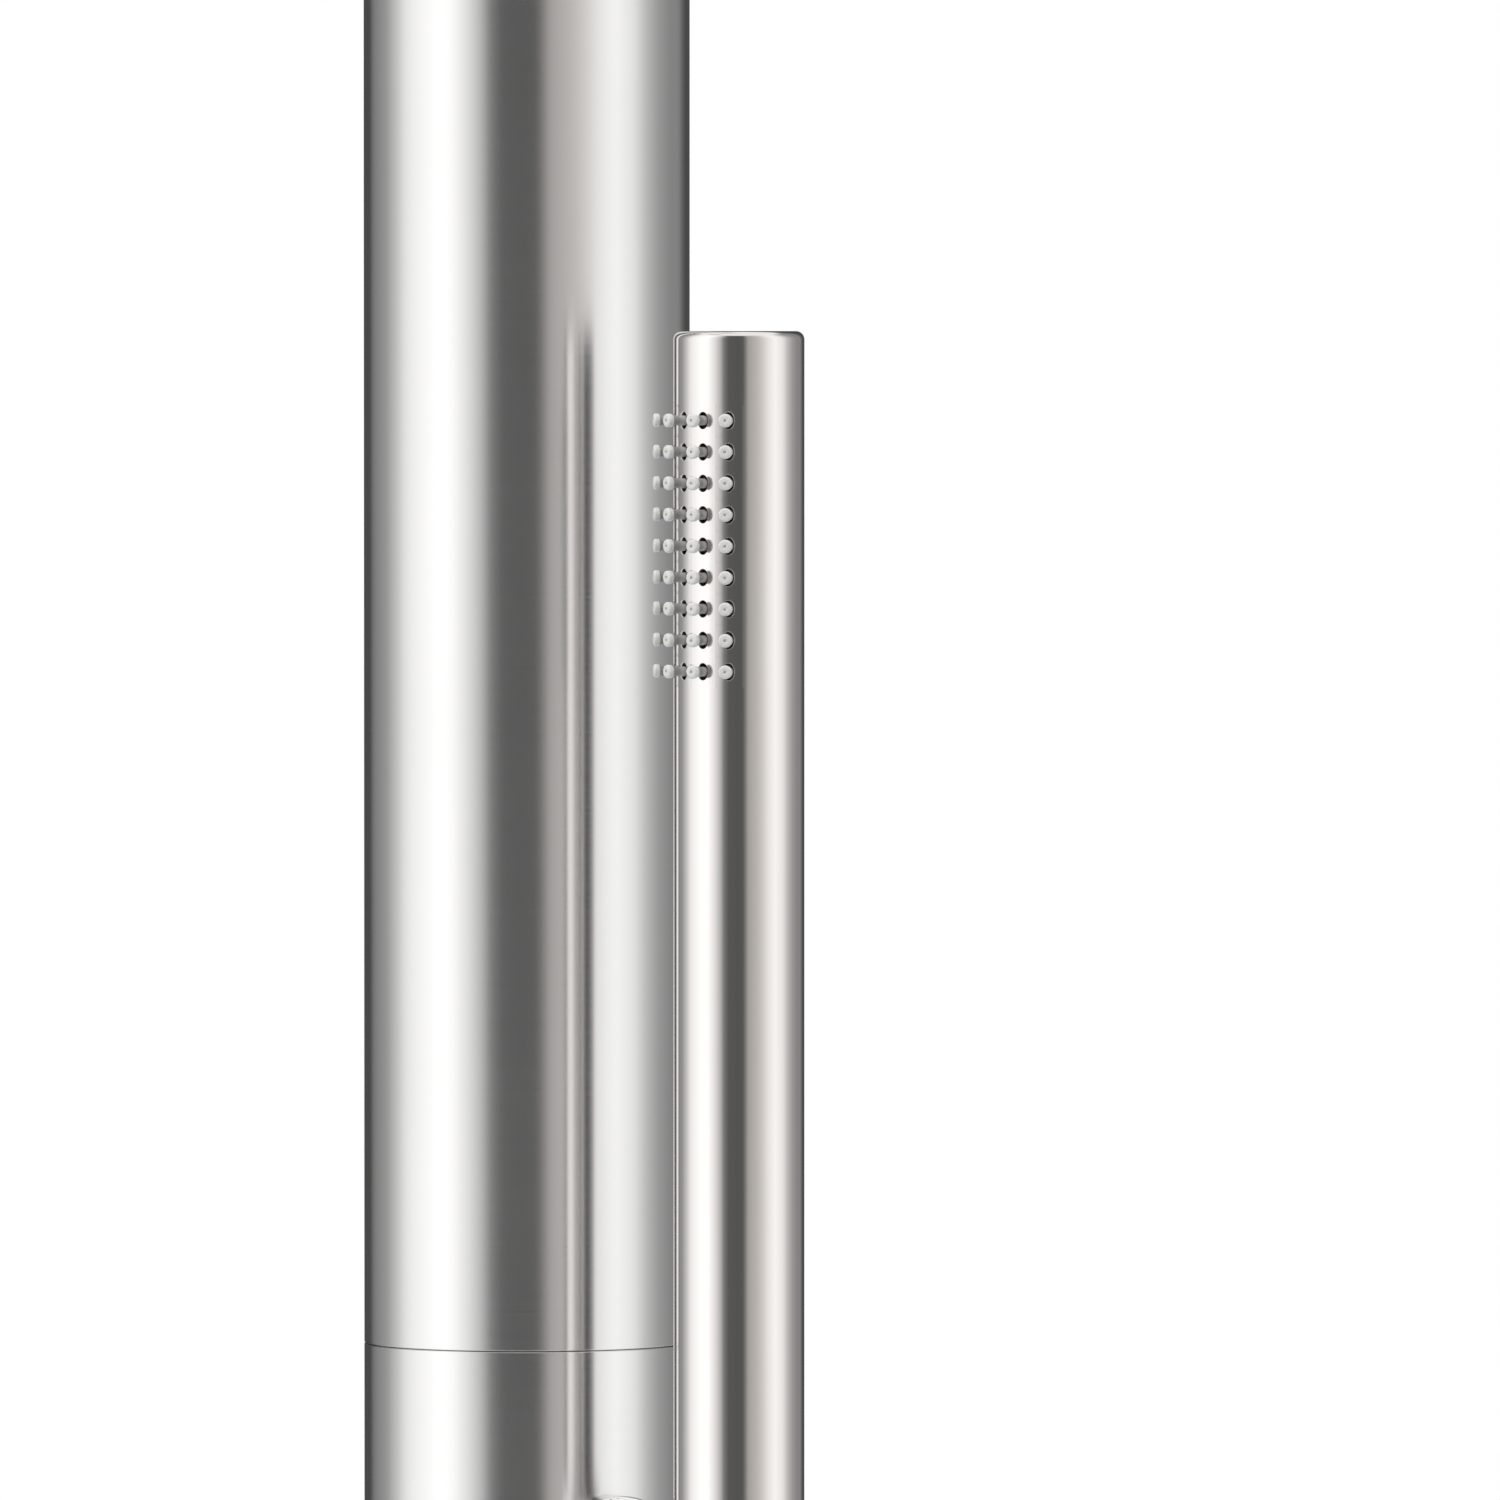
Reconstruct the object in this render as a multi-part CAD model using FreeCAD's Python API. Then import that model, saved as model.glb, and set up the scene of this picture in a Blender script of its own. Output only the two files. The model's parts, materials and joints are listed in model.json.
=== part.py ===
import FreeCAD, Part
import math
import os

# Outdoor shower post, in millimetres. +Z is up, and the origin is on the floor at the post's axis.
# The overhead spray falls at the front, -Y. The hand shower stands in its holder beside the post, at +X.
# A distance called reach, back or front is measured forwards from the post's axis, along -Y.

# ---- Clearances ----
SNUG = 0.1  # screwed or pressed pieces, drawn without their threads
SLIP = 0.2  # pieces that slip into place
RUN = 0.06  # a shaft in its bearing, on the radius
FREE = 0.4  # pieces that pass each other
PAST = 1.0  # how far a cut runs past the face that it opens
SAME_PLACE = 0.01  # points nearer than this are one point

# ---- Post ----
POST_R = 31.75
POST_WALL = 2.0
POST_HEIGHT = 2200.0
JOINT_Z = 1250.0  # where the upper tube stands on the lower one
JOINT_GAP = 0.15
EDGE_BREAK = 0.25  # chamfer on the tube ends at the joint
SLEEVE_LENGTH = 160.0  # inner sleeve that joins the two tubes
SLEEVE_WALL = 3.0
SLEEVE_SCREW_R = 2.5
SLEEVE_SCREW_HEAD_R = 4.5
SLEEVE_SCREW_HEAD_T = 1.3
SLEEVE_SCREW_INSET = 25.0  # from each end of the sleeve
SLEEVE_SCREW_ANGLES = (90.0, 150.0)  # round the back of the post
SLEEVE_KEY_ACROSS = 2.5
SLEEVE_KEY_DEPTH = 2.0
SLEEVE_HOLE_PAST = 2.0  # the screw holes run on into the sleeve's bore
CAP_T = 3.0
CAP_SPIGOT = 17.0
CAP_WALL = 3.0
CAP_ROUND = 1.0
O_RING_R = 1.0  # thickness of the cap's ring, as a radius

# ---- Base ----
FLANGE_R = 110.0
FLANGE_T = 10.0
FLANGE_RIM_T = 3.0  # the rim that carries the cover
BOLT_CIRCLE_R = 85.0
BOLT_HOLE_R = 5.5
BOLT_COUNT = 4
BOLT_START_ANGLE = 45.0
SPIGOT_LENGTH = 80.0
SPIGOT_WALL = 4.0
FLOOR_SEAL_INSET = 10.0  # from the flange's edge in to the seal's middle
FLOOR_SEAL_WIDTH = 4.0
FLOOR_SEAL_T = 2.5
COVER_WALL = 1.5
COVER_HEIGHT = 32.0
COVER_ROUND = 4.0
GRUB_R = 3.0
GRUB_LENGTH = 6.0
GRUB_COUNT = 3
GRUB_START_ANGLE = 90.0
GRUB_Z = 20.0
GRUB_KEY_DEPTH = 2.8
GRUB_HOLE_PAST = 1.4

# ---- Water inlets and risers ----
RISER_R = 6.0
RISER_WALL = 1.0
RISER_X = 13.0
RISER_SEAT = 8.0  # how deep a riser stands in a fitting
SOCKET_R = 9.3  # tapping for a 1/2 inch pipe thread
SOCKET_THREAD = 11.0  # threaded length of the socket
SOCKET_DEPTH = 14.0  # with the plain relief behind the thread
SOCKET_RELIEF_R = 9.8
FEED_SLOT_R = 11.0  # half the width of the slot in the base that the supply hoses pass
VALVE_R = 7.0
VALVE_BORE_R = 3.0
VALVE_LENGTH = 10.0
BLOCK_SCREW_R = 2.5
BLOCK_SCREW_HEAD_R = 4.25
BLOCK_SCREW_HEAD_T = 5.0
BLOCK_SCREW_Y = 17.0
BLOCK_SCREW_TIP_Z = 4.0
BLOCK_KEY_ACROSS = 4.0
BLOCK_KEY_DEPTH = 2.5
NUT_ACROSS = 19.0
NUT_T = 11.0
CLIP_T = 12.0
CLIPS_PER_RUN = 2

# ---- Mixer ----
MIXER_Z = 980.0
MIXER_HALF = 19.0  # half the mixing body's length, front to back
MIXER_DROP = 28.0  # from the mixer's axis down to the foot of its body
MIXER_FOOT_X = 21.0
MIXER_FOOT_Y = 10.0
SHANK_R = 17.0
SHANK_LENGTH = 10.0
CARTRIDGE_R = 17.3
HOUSING_WALL = 2.3
HOUSING_LIP = 2.2  # how far the outer barrel stands proud of the neck
HOUSING_FLOOR = 2.0
BARREL_REACH = 18.25  # from the post's surface to the barrel's end
CARTRIDGE_SEAL_T = 1.5
CASE_FLOOR = 3.5
CASE_BORE_R = 14.0
DISC_T = 3.0
CARTRIDGE_NUT_T = 5.0
CARTRIDGE_NUT_BORE_R = 13.0
PORT_R = 3.0
MIXED_BORE_R = 4.0
PORT_X = 8.0
PORT_DROP = 5.0
PIVOT_SETBACK = 12.0  # from the barrel's end back to the lever's pin
LEVER_PIN_R = 1.5
LEVER_PIN_LENGTH = 22.0
STEM_SIDE = 7.0
STEM_TAIL = 2.8
STEM_SETBACK = 14.0  # from the handle's front back to the stem's end
SLOT_BELOW = 5.6  # the lever's slot in its carrier, below and above the mixer's axis
SLOT_ABOVE = 9.1
LEVER_LIFT = 25.0  # degrees from closed to fully open
DOME_R = 24.5
DOME_WALL = 1.5
DOME_OPENING_R = 14.0
HANDLE_SETOUT = 19.0  # from the lever's pin forwards to the handle's back edge
HANDLE_LENGTH = 37.0
HANDLE_WALL = 2.5
HANDLE_BOSS_R = 9.0
HANDLE_ROUND = 1.5
LEVER_ROD_R = 4.0
LEVER_ROD_TOP = 84.0
LEVER_ROD_SETBACK = 8.0  # from the handle's front back to the rod's axis
LEVER_ROD_ROUND = 1.5
SMALL_GRUB_R = 2.0
SMALL_GRUB_LENGTH = 8.0
SMALL_KEY_ACROSS = 2.0
SMALL_KEY_DEPTH = 2.7

# ---- Diverter and hose outlet ----
DIVERTER_Z = 1120.0
PIPE_R = 7.5  # the pipe from the mixer to the diverter, and from there to the overhead arm
PIPE_WALL = 1.0
PIPE_Y = 5.0
PIPE_SEAT = 8.0
DIVERTER_R = 20.0
DIVERTER_HALF = 22.0
CHAMBER_R = 9.0
CHAMBER_LAND = 1.0  # between a pipe's seat and the chamber
DIVERTER_BOSS_R = 14.0
DIVERTER_BOSS_REACH = 24.0
HEADWORK_THREAD_R = 9.0
HEADWORK_THREAD = 14.0
HEADWORK_R = 11.6
HEADWORK_SETBACK = 1.0  # from the collar's end back to the headwork's
SPINDLE_R = 4.0
SPINDLE_PLATE_R = 8.5
SPINDLE_PLATE_T = 4.0
SPINDLE_PLATE_GAP = 2.0  # from the plate to the headwork
SPINDLE_SETBACK = 9.7  # from the knob's front back to the spindle's end
COLLAR_WALL = 3.2
COLLAR_REACH = 24.25  # from the post's surface to the collar's end
KNOB_R = 17.0
KNOB_LENGTH = 29.0
KNOB_ROUND = 1.5
KNOB_PIN_R = 3.0
KNOB_PIN_TOP = 30.0
KNOB_PIN_ROUND = 1.0
KNOB_GRUB_SETOUT = 7.25  # from the knob's back to its grub screw
OUTLET_SHANK_R = 9.0
OUTLET_BOSS_R = 12.5
OUTLET_BOSS_REACH = 25.0
OUTLET_SHANK_DEPTH = 11.0
OUTLET_R = 13.0
OUTLET_REACH = 28.25
OUTLET_ROUND = 2.0
HOSE_THREAD_R = 10.48  # 1/2 inch pipe thread, outside
OUTLET_SHOULDER_R = 12.5
OUTLET_SHOULDER_T = 2.0
OUTLET_THREAD = 12.0
WATER_BORE_R = 5.5

# ---- Hand shower and its holder ----
HOLDER_Z = 1207.0
HANDSET_X = 80.0
HANDSET_R = 12.5
HANDSET_WALL = 1.5
HANDSET_LENGTH = 253.5
HANDSET_ROUND = 1.6
HANDSET_CROWN = 2.0
ARM_R = 8.0
ARM_ROSETTE_R = 15.0
ARM_ROSETTE_T = 4.0
ARM_ROSETTE_ROUND = 0.5
ARM_STUD_R = 4.0
ARM_NUT_ACROSS = 13.0
ARM_NUT_T = 6.0
ARM_STUD_PROUD = 1.0  # the stud's end past its nut
PIVOT_R = 4.0
PIVOT_SCREW_R = 2.0
PIVOT_SCREW_LENGTH = 14.0
PIVOT_HEAD_R = 3.5
PIVOT_HEAD_T = 1.7
PIVOT_KEY_ACROSS = 2.4
PIVOT_KEY_DEPTH = 0.85
CUP_WALL = 2.9
CUP_WEB = 1.6
CUP_BOSS_LENGTH = 4.0
CUP_BELOW = 16.0
CUP_ABOVE = 13.0
CUP_LIP_T = 2.5
CUP_LIP_R = 12.0
LINER_WALL = 1.3
HOSE_SLOT = 17.0  # front slot that the hose passes when the hand shower is hung up
HANDSET_THREAD = 15.0
HANDSET_NECK = 8.0  # plain length between the hand shower's foot and the thread
HANDSET_NECK_R = 11.3
FOOT_R = 11.6  # the hand shower's tapered foot, at its lower end
FOOT_LENGTH = 27.0
HANDSET_PLUG = 12.0
NOZZLE_ROWS = 9
NOZZLE_COLUMNS = 4
NOZZLE_PITCH = 5.97
NOZZLE_STEP = 24.0  # degrees between columns
HANDSET_TURN = 13.5  # degrees from the front to the middle of the columns, as it stands in its holder
NOZZLE_TOP_GAP = 17.0  # from the hand shower's top to the first row
NOZZLE_HOLE_R = 1.25  # round ends of the upright hole that a nozzle stands in
NOZZLE_HOLE_RISE = 0.5  # how far those ends lie above and below its middle
NOZZLE_NECK_R = 0.95
NOZZLE_BEAD_R = 1.3
NOZZLE_BEAD_LENGTH = 1.25
NOZZLE_BEAD_ROUND = 0.4
NOZZLE_JET_R = 0.3
NOZZLE_HEIGHT = 4.0
STRIP_T = 0.9
STRIP_MARGIN = 6.0
STRIP_MARGIN_ANGLE = 12.0
CORE_WALL = 1.5
CORE_END_T = 3.0
CORE_HOLE_R = 0.65

# ---- Overhead arm and head ----
OVERHEAD_BELOW_TOP = 70.0  # from the post's top down to the arm's axis
OVERHEAD_REACH = 338.0
OVERHEAD_R = 12.7
OVERHEAD_WALL = 1.5
OVERHEAD_BEND_R = 38.0
OVERHEAD_DROP = 16.0  # straight length below the bend
OVERHEAD_INSET = 8.0
ELBOW_R = 12.0
ELBOW_SOCKET_R = 16.0
ELBOW_SOCKET_REACH = 24.0
ELBOW_BELOW = 26.0
ELBOW_ABOVE = 18.0
OVERHEAD_ROSETTE_R = 20.0
OVERHEAD_ROSETTE_T = 6.0
OVERHEAD_ROSETTE_ROUND = 1.0
BALL_R = 10.5
BALL_NECK_R = 5.5
BALL_DROP = 18.0  # from the stud's collar down to the ball's centre
STUD_COLLAR_T = 8.0
STUD_BORE_R = 3.0
SEAT_T = 2.4
SEAT_ABOVE = 5.0
SEAT_BELOW = 6.0
BALL_NUT_R = 19.0
BALL_NUT_WALL = 2.9
BALL_NUT_ABOVE = 8.5
BALL_NUT_SKIRT = 7.0
HUB_R = 22.0
HUB_LENGTH = 14.0
HEAD_R = 110.0
HEAD_T = 14.0
HEAD_WALL = 2.5
HEAD_TOP_T = 1.5
HEAD_LEDGE = 7.5
HEAD_ROUND = 1.0
FACE_T = 2.0
MAT_T = 1.5
RAIN_RINGS = 5
RAIN_PITCH = 19.0
RAIN_RING_STEP = 6  # how many more nozzles each ring has than the one inside it
RAIN_NOZZLE_R = 1.6
RAIN_JET_R = 0.55
RAIN_NOZZLE_OUT = 1.5
FACE_SCREW_R = 1.5
FACE_SCREW_HEAD_R = 2.8
FACE_SCREW_HEAD_T = 1.0
FACE_SCREW_LENGTH = 9.0
FACE_SCREW_COUNT = 6
FACE_KEY_ACROSS = 1.5
FACE_KEY_DEPTH = 0.5

# ---- Sizes that follow ----
FLOOR_SEAL_R = FLANGE_R - FLOOR_SEAL_INSET
POST_BORE_R = POST_R - POST_WALL
SLEEVE_R = POST_BORE_R - SLIP
SLEEVE_BORE_R = SLEEVE_R - SLEEVE_WALL
SPIGOT_R = POST_BORE_R - SLIP
BLOCK_R = SPIGOT_R - SPIGOT_WALL - FREE
BLOCK_TOP = FLANGE_T + SOCKET_DEPTH + VALVE_LENGTH + RISER_SEAT
MIXER_R = math.sqrt((POST_BORE_R - FREE) ** 2 - MIXER_HALF**2)
MIXER_OUTLET_TOP = MIXER_Z + MIXER_R + PIPE_SEAT
NECK_R = CARTRIDGE_R + SLIP + HOUSING_WALL
BARREL_R = NECK_R + HOUSING_LIP
BARREL_END = POST_R + BARREL_REACH
CASE_BACK = MIXER_HALF + HOUSING_FLOOR + CARTRIDGE_SEAL_T
CASE_FRONT = BARREL_END - CARTRIDGE_NUT_T
DISCS_BACK = CASE_BACK + CASE_FLOOR
CARRIER_BACK = DISCS_BACK + 2 * DISC_T
PIVOT_REACH = BARREL_END - PIVOT_SETBACK
HANDLE_BACK = PIVOT_REACH + HANDLE_SETOUT
HANDLE_FRONT = HANDLE_BACK + HANDLE_LENGTH
HANDLE_BOSS_BACK = PIVOT_REACH + DOME_R + 2 * FREE
STEM_FRONT = HANDLE_FRONT - STEM_SETBACK
LEVER_ROD_REACH = HANDLE_FRONT - LEVER_ROD_SETBACK
HANDLE_GRUB_REACH = (HANDLE_BOSS_BACK + STEM_FRONT) / 2
COLLAR_END = POST_R + COLLAR_REACH
KNOB_BACK = COLLAR_END + 2 * FREE
KNOB_FRONT = KNOB_BACK + KNOB_LENGTH
SPINDLE_FRONT = KNOB_FRONT - SPINDLE_SETBACK
KNOB_GRUB_REACH = KNOB_BACK + KNOB_GRUB_SETOUT
OUTLET_END = POST_R + OUTLET_REACH
OUTLET_NIPPLE_X = OUTLET_END - OUTLET_R
CUP_BOTTOM = HOLDER_Z - CUP_BELOW
CUP_TOP = HOLDER_Z + CUP_ABOVE
LINER_R = HANDSET_R + SLIP + LINER_WALL
CUP_BORE_R = LINER_R + SNUG
CUP_R = CUP_BORE_R + CUP_WALL
ARM_END = HANDSET_X - CUP_R - CUP_BOSS_LENGTH
WEB_FRONT = HANDSET_X - CUP_BORE_R - PIVOT_HEAD_T - SLIP
WEB_BACK = WEB_FRONT - CUP_WEB
HANDSET_BOTTOM = CUP_BOTTOM + CUP_LIP_T + SLIP
HANDSET_TOP = HANDSET_BOTTOM + HANDSET_LENGTH
HANDSET_BORE_R = HANDSET_R - HANDSET_WALL
FOOT_TOP = HANDSET_BOTTOM + FOOT_LENGTH
FOOT_TAPER = (HANDSET_R - FOOT_R) / FOOT_LENGTH
PLUG_TOP = FOOT_TOP + HANDSET_PLUG
CORE_BOTTOM = PLUG_TOP + SLIP
CORE_TOP = HANDSET_TOP - HANDSET_CROWN - SLIP
STRIP_R = HANDSET_BORE_R - SNUG
CORE_R = STRIP_R - STRIP_T - SNUG
NOZZLE_TOP_Z = HANDSET_TOP - NOZZLE_TOP_GAP
NOZZLE_SPAN = (NOZZLE_ROWS - 1) * NOZZLE_PITCH
NOZZLE_TIP = HANDSET_R + NOZZLE_HEIGHT
NOZZLE_MIDDLE = -90.0 + HANDSET_TURN
OVERHEAD_Z = POST_HEIGHT - OVERHEAD_BELOW_TOP
ARM_FOOT_Z = OVERHEAD_Z - OVERHEAD_BEND_R - OVERHEAD_DROP
COLLAR_BOTTOM_Z = ARM_FOOT_Z - STUD_COLLAR_T
BALL_Z = COLLAR_BOTTOM_Z - BALL_DROP
SEAT_BORE_R = BALL_R + RUN
SEAT_R = SEAT_BORE_R + SEAT_T
HEAD_SOCKET_R = SEAT_R + RUN
HEAD_TOP_Z = BALL_Z - HUB_LENGTH
HEAD_BOTTOM_Z = HEAD_TOP_Z - HEAD_T
FACE_R = HEAD_R - HEAD_WALL - SLIP
FACE_SCREW_CIRCLE_R = FACE_R - HEAD_LEDGE / 2

UP = FreeCAD.Vector(0, 0, 1)


# ---- Helpers ----
def point(x=0.0, y=0.0, z=0.0):
    return FreeCAD.Vector(x, y, z)


def turned_about_z(centre, radius, angle):
    """The point at a radius and an angle in degrees round a vertical axis through centre."""
    turn = math.radians(angle)
    return centre + point(radius * math.cos(turn), radius * math.sin(turn))


def rod(radius, start, end):
    """Round bar between two points."""
    along = end - start
    return Part.makeCylinder(radius, along.Length, start, along)


def tube(radius, bore, start, end):
    return rod(radius, start, end).cut(rod(bore, start, end))


def softened_rod(radius, start, end, edge_radius):
    """Round bar whose far end has a rounded edge."""
    bar = rod(radius, start, end)
    far_edges = [edge for edge in bar.Edges if (edge.CenterOfMass - end).Length < SAME_PLACE]
    return bar.makeFillet(edge_radius, far_edges)


def cone(root_radius, tip_radius, start, end):
    along = end - start
    return Part.makeCone(root_radius, tip_radius, along.Length, start, along)


def block(low, high):
    """Box between two opposite corners."""
    size = high - low
    return Part.makeBox(size.x, size.y, size.z, low)


def hexagon(across, start, end):
    """Six-sided bar between two points, so wide across its flats."""
    along = end - start
    side = along.cross(UP) if along.cross(UP).Length > 0 else point(1)
    side.normalize()
    corner = start + side * (across / math.sqrt(3))
    corners = [rotated(corner, start, along, 60.0 * turn) for turn in range(7)]
    return Part.Face(Part.makePolygon(corners)).extrude(along)


def rotated(place, centre, axis, angle):
    return centre + FreeCAD.Rotation(axis, angle).multVec(place - centre)


def merged(first, *others):
    return first.multiFuse(list(others)).removeSplitter()


def coped(shape, height):
    """The part of a shape that stands outside the post, its end hollowed to the post's surface."""
    half = point(z=2 * POST_R)
    return shape.cut(rod(POST_R + SNUG, point(z=height) - half, point(z=height) + half))


def forward(reach, height, x=0.0):
    """A point so far in front of the post's axis."""
    return point(x, -reach, height)


# ---- Base ----
def floor_seal():
    half = FLOOR_SEAL_WIDTH / 2 - SNUG
    return tube(FLOOR_SEAL_R + half, FLOOR_SEAL_R - half, point(), point(z=FLOOR_SEAL_T - SNUG))


def post_grub_places():
    """Where the grub screws that hold the post start, on its surface, and the way they point."""
    angles = [GRUB_START_ANGLE + 360.0 * turn / GRUB_COUNT for turn in range(GRUB_COUNT)]
    outer = [turned_about_z(point(z=GRUB_Z), POST_R, angle) for angle in angles]
    inward = [turned_about_z(point(), -1.0, angle) for angle in angles]
    return list(zip(outer, inward))


def post_grub_holes():
    deep = GRUB_LENGTH + GRUB_HOLE_PAST
    return [
        rod(GRUB_R + SNUG, outer - inward * PAST, outer + inward * deep)
        for outer, inward in post_grub_places()
    ]


def post_grub_screws():
    screws = []
    for outer, inward in post_grub_places():
        key = hexagon(GRUB_R, outer, outer + inward * GRUB_KEY_DEPTH)
        screws.append(rod(GRUB_R, outer, outer + inward * GRUB_LENGTH).cut(key))
    return screws


def inlet_places(z):
    return [point(-RISER_X, 0, z), point(RISER_X, 0, z)]


def block_screw_places(z):
    return [point(0, -BLOCK_SCREW_Y, z), point(0, BLOCK_SCREW_Y, z)]


def feed_slot():
    """Slot through the base, with round ends, under both of the inlet block's sockets."""
    foot, other_foot = inlet_places(0)
    rise = point(z=FLANGE_T)
    across = point(y=FEED_SLOT_R)
    ends = [rod(FEED_SLOT_R, place, place + rise) for place in (foot, other_foot)]
    return merged(block(foot - across, other_foot + across + rise), *ends)


def base_flange():
    top_r = FLANGE_R - COVER_WALL - SLIP
    plate = merged(
        rod(FLANGE_R, point(), point(z=FLANGE_RIM_T)),
        rod(top_r, point(z=FLANGE_RIM_T), point(z=FLANGE_T)),
        rod(SPIGOT_R, point(z=FLANGE_T), point(z=FLANGE_T + SPIGOT_LENGTH)),
    )
    bore = rod(SPIGOT_R - SPIGOT_WALL, point(z=FLANGE_T), point(z=FLANGE_T + SPIGOT_LENGTH))
    half = FLOOR_SEAL_WIDTH / 2
    groove = tube(FLOOR_SEAL_R + half, FLOOR_SEAL_R - half, point(), point(z=FLOOR_SEAL_T))
    cuts = [bore, groove, feed_slot()] + post_grub_holes()
    for turn in range(BOLT_COUNT):
        foot = turned_about_z(point(), BOLT_CIRCLE_R, BOLT_START_ANGLE + 360.0 * turn / BOLT_COUNT)
        cuts.append(rod(BOLT_HOLE_R, foot, foot + point(z=FLANGE_T)))
    for top in block_screw_places(FLANGE_T):
        cuts.append(rod(BLOCK_SCREW_R + SNUG, top, top - point(z=FLANGE_T - BLOCK_SCREW_TIP_Z + PAST)))
    return plate.cut(cuts)


def base_cover():
    """Shallow round cover that stands on the flange's rim and closes round the post."""
    shell = softened_rod(FLANGE_R, point(z=FLANGE_RIM_T), point(z=COVER_HEIGHT), COVER_ROUND)
    hollow = softened_rod(
        FLANGE_R - COVER_WALL,
        point(z=FLANGE_RIM_T),
        point(z=COVER_HEIGHT - COVER_WALL),
        COVER_ROUND - COVER_WALL,
    )
    return shell.cut([hollow, rod(POST_R + SLIP, point(), point(z=COVER_HEIGHT + PAST))])


def inlet_block():
    body = rod(BLOCK_R, point(z=FLANGE_T), point(z=BLOCK_TOP))
    cuts = []
    for foot in inlet_places(FLANGE_T):
        valve_foot = foot + point(z=SOCKET_DEPTH)
        riser_foot = valve_foot + point(z=VALVE_LENGTH)
        cuts.append(rod(SOCKET_R, foot, valve_foot))
        cuts.append(rod(SOCKET_RELIEF_R, foot + point(z=SOCKET_THREAD), valve_foot))
        cuts.append(rod(VALVE_R + SNUG, valve_foot, riser_foot))
        cuts.append(rod(RISER_R + SNUG, riser_foot, riser_foot + point(z=RISER_SEAT)))
    for foot in block_screw_places(FLANGE_T):
        cuts.append(rod(BLOCK_SCREW_R + SNUG, foot, foot + point(z=BLOCK_TOP - FLANGE_T)))
    return body.cut(cuts)


def inlet_block_screws():
    screws = []
    for seat in block_screw_places(BLOCK_TOP):
        head = rod(BLOCK_SCREW_HEAD_R, seat, seat + point(z=BLOCK_SCREW_HEAD_T))
        shank = rod(BLOCK_SCREW_R, seat, seat - point(z=BLOCK_TOP - BLOCK_SCREW_TIP_Z))
        key_top = seat + point(z=BLOCK_SCREW_HEAD_T)
        key = hexagon(BLOCK_KEY_ACROSS, key_top, key_top - point(z=BLOCK_KEY_DEPTH))
        screws.append(merged(head, shank).cut(key))
    return screws


def check_valves():
    feet = inlet_places(FLANGE_T + SOCKET_DEPTH)
    return [tube(VALVE_R, VALVE_BORE_R, foot, foot + point(z=VALVE_LENGTH)) for foot in feet]


# ---- Post ----
def sleeve_screw_places():
    """The seats of the screws that hold the sleeve, on the post's surface, with their angles."""
    reach = SLEEVE_LENGTH / 2 - SLEEVE_SCREW_INSET
    heights = (JOINT_Z - reach, JOINT_Z + reach)
    return [
        (turned_about_z(point(z=z), POST_R, angle), turned_about_z(point(), 1.0, angle))
        for z in heights
        for angle in SLEEVE_SCREW_ANGLES
    ]


def sleeve_screw_holes():
    return [
        rod(SLEEVE_SCREW_R + SNUG, seat + out, seat - out * (POST_R - SLEEVE_BORE_R + SLEEVE_HOLE_PAST))
        for seat, out in sleeve_screw_places()
    ]


def sleeve_screws():
    screws = []
    for seat, out in sleeve_screw_places():
        head = rod(SLEEVE_SCREW_HEAD_R, seat, seat + out * SLEEVE_SCREW_HEAD_T)
        shank = rod(SLEEVE_SCREW_R, seat, seat - out * (POST_R - SLEEVE_BORE_R))
        key_top = seat + out * SLEEVE_SCREW_HEAD_T
        key = hexagon(SLEEVE_KEY_ACROSS, key_top, key_top - out * SLEEVE_KEY_DEPTH)
        screws.append(merged(head, shank).cut(key))
    return screws


def broken_tube(bottom, top, broken_end):
    """One length of the post, with a small chamfer on its outer edge at one end."""
    body = rod(POST_R, point(z=bottom), point(z=top))
    end = point(z=broken_end)
    edges = [edge for edge in body.Edges if (edge.CenterOfMass - end).Length < SAME_PLACE]
    body = body.makeChamfer(EDGE_BREAK, edges)
    return body.cut(rod(POST_BORE_R, point(z=bottom), point(z=top)))


def lower_post():
    top = JOINT_Z - JOINT_GAP / 2
    cuts = post_grub_holes() + sleeve_screw_holes()
    cuts.append(rod(NECK_R + SLIP, point(z=MIXER_Z), forward(POST_R + PAST, MIXER_Z)))
    cuts.append(rod(HEADWORK_R + SLIP, point(z=DIVERTER_Z), forward(POST_R + PAST, DIVERTER_Z)))
    cuts.append(rod(OUTLET_SHANK_R + SLIP, point(z=DIVERTER_Z), point(POST_R + PAST, 0, DIVERTER_Z)))
    cuts.append(rod(ARM_STUD_R + SLIP, point(z=HOLDER_Z), point(POST_R + PAST, 0, HOLDER_Z)))
    return broken_tube(FLANGE_T, top, top).cut(cuts)


def upper_post():
    bottom = JOINT_Z + JOINT_GAP / 2
    arm_hole = rod(OVERHEAD_R + SLIP, point(z=OVERHEAD_Z), forward(POST_R + PAST, OVERHEAD_Z))
    return broken_tube(bottom, POST_HEIGHT - CAP_T, bottom).cut(sleeve_screw_holes() + [arm_hole])


def joint_sleeve():
    bottom = point(z=JOINT_Z - SLEEVE_LENGTH / 2)
    stud_hole = rod(ARM_STUD_R + SLIP, point(z=HOLDER_Z), point(POST_R, 0, HOLDER_Z))
    body = tube(SLEEVE_R, SLEEVE_BORE_R, bottom, bottom + point(z=SLEEVE_LENGTH))
    return body.cut(sleeve_screw_holes() + [stud_hole])


def cap_ring(swell):
    """Ring round the cap's spigot. The groove is the same ring, a little larger."""
    radius = POST_BORE_R - O_RING_R - SLIP / 2
    return Part.makeTorus(radius, O_RING_R + swell, point(z=POST_HEIGHT - CAP_T - CAP_SPIGOT / 2), UP)


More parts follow.
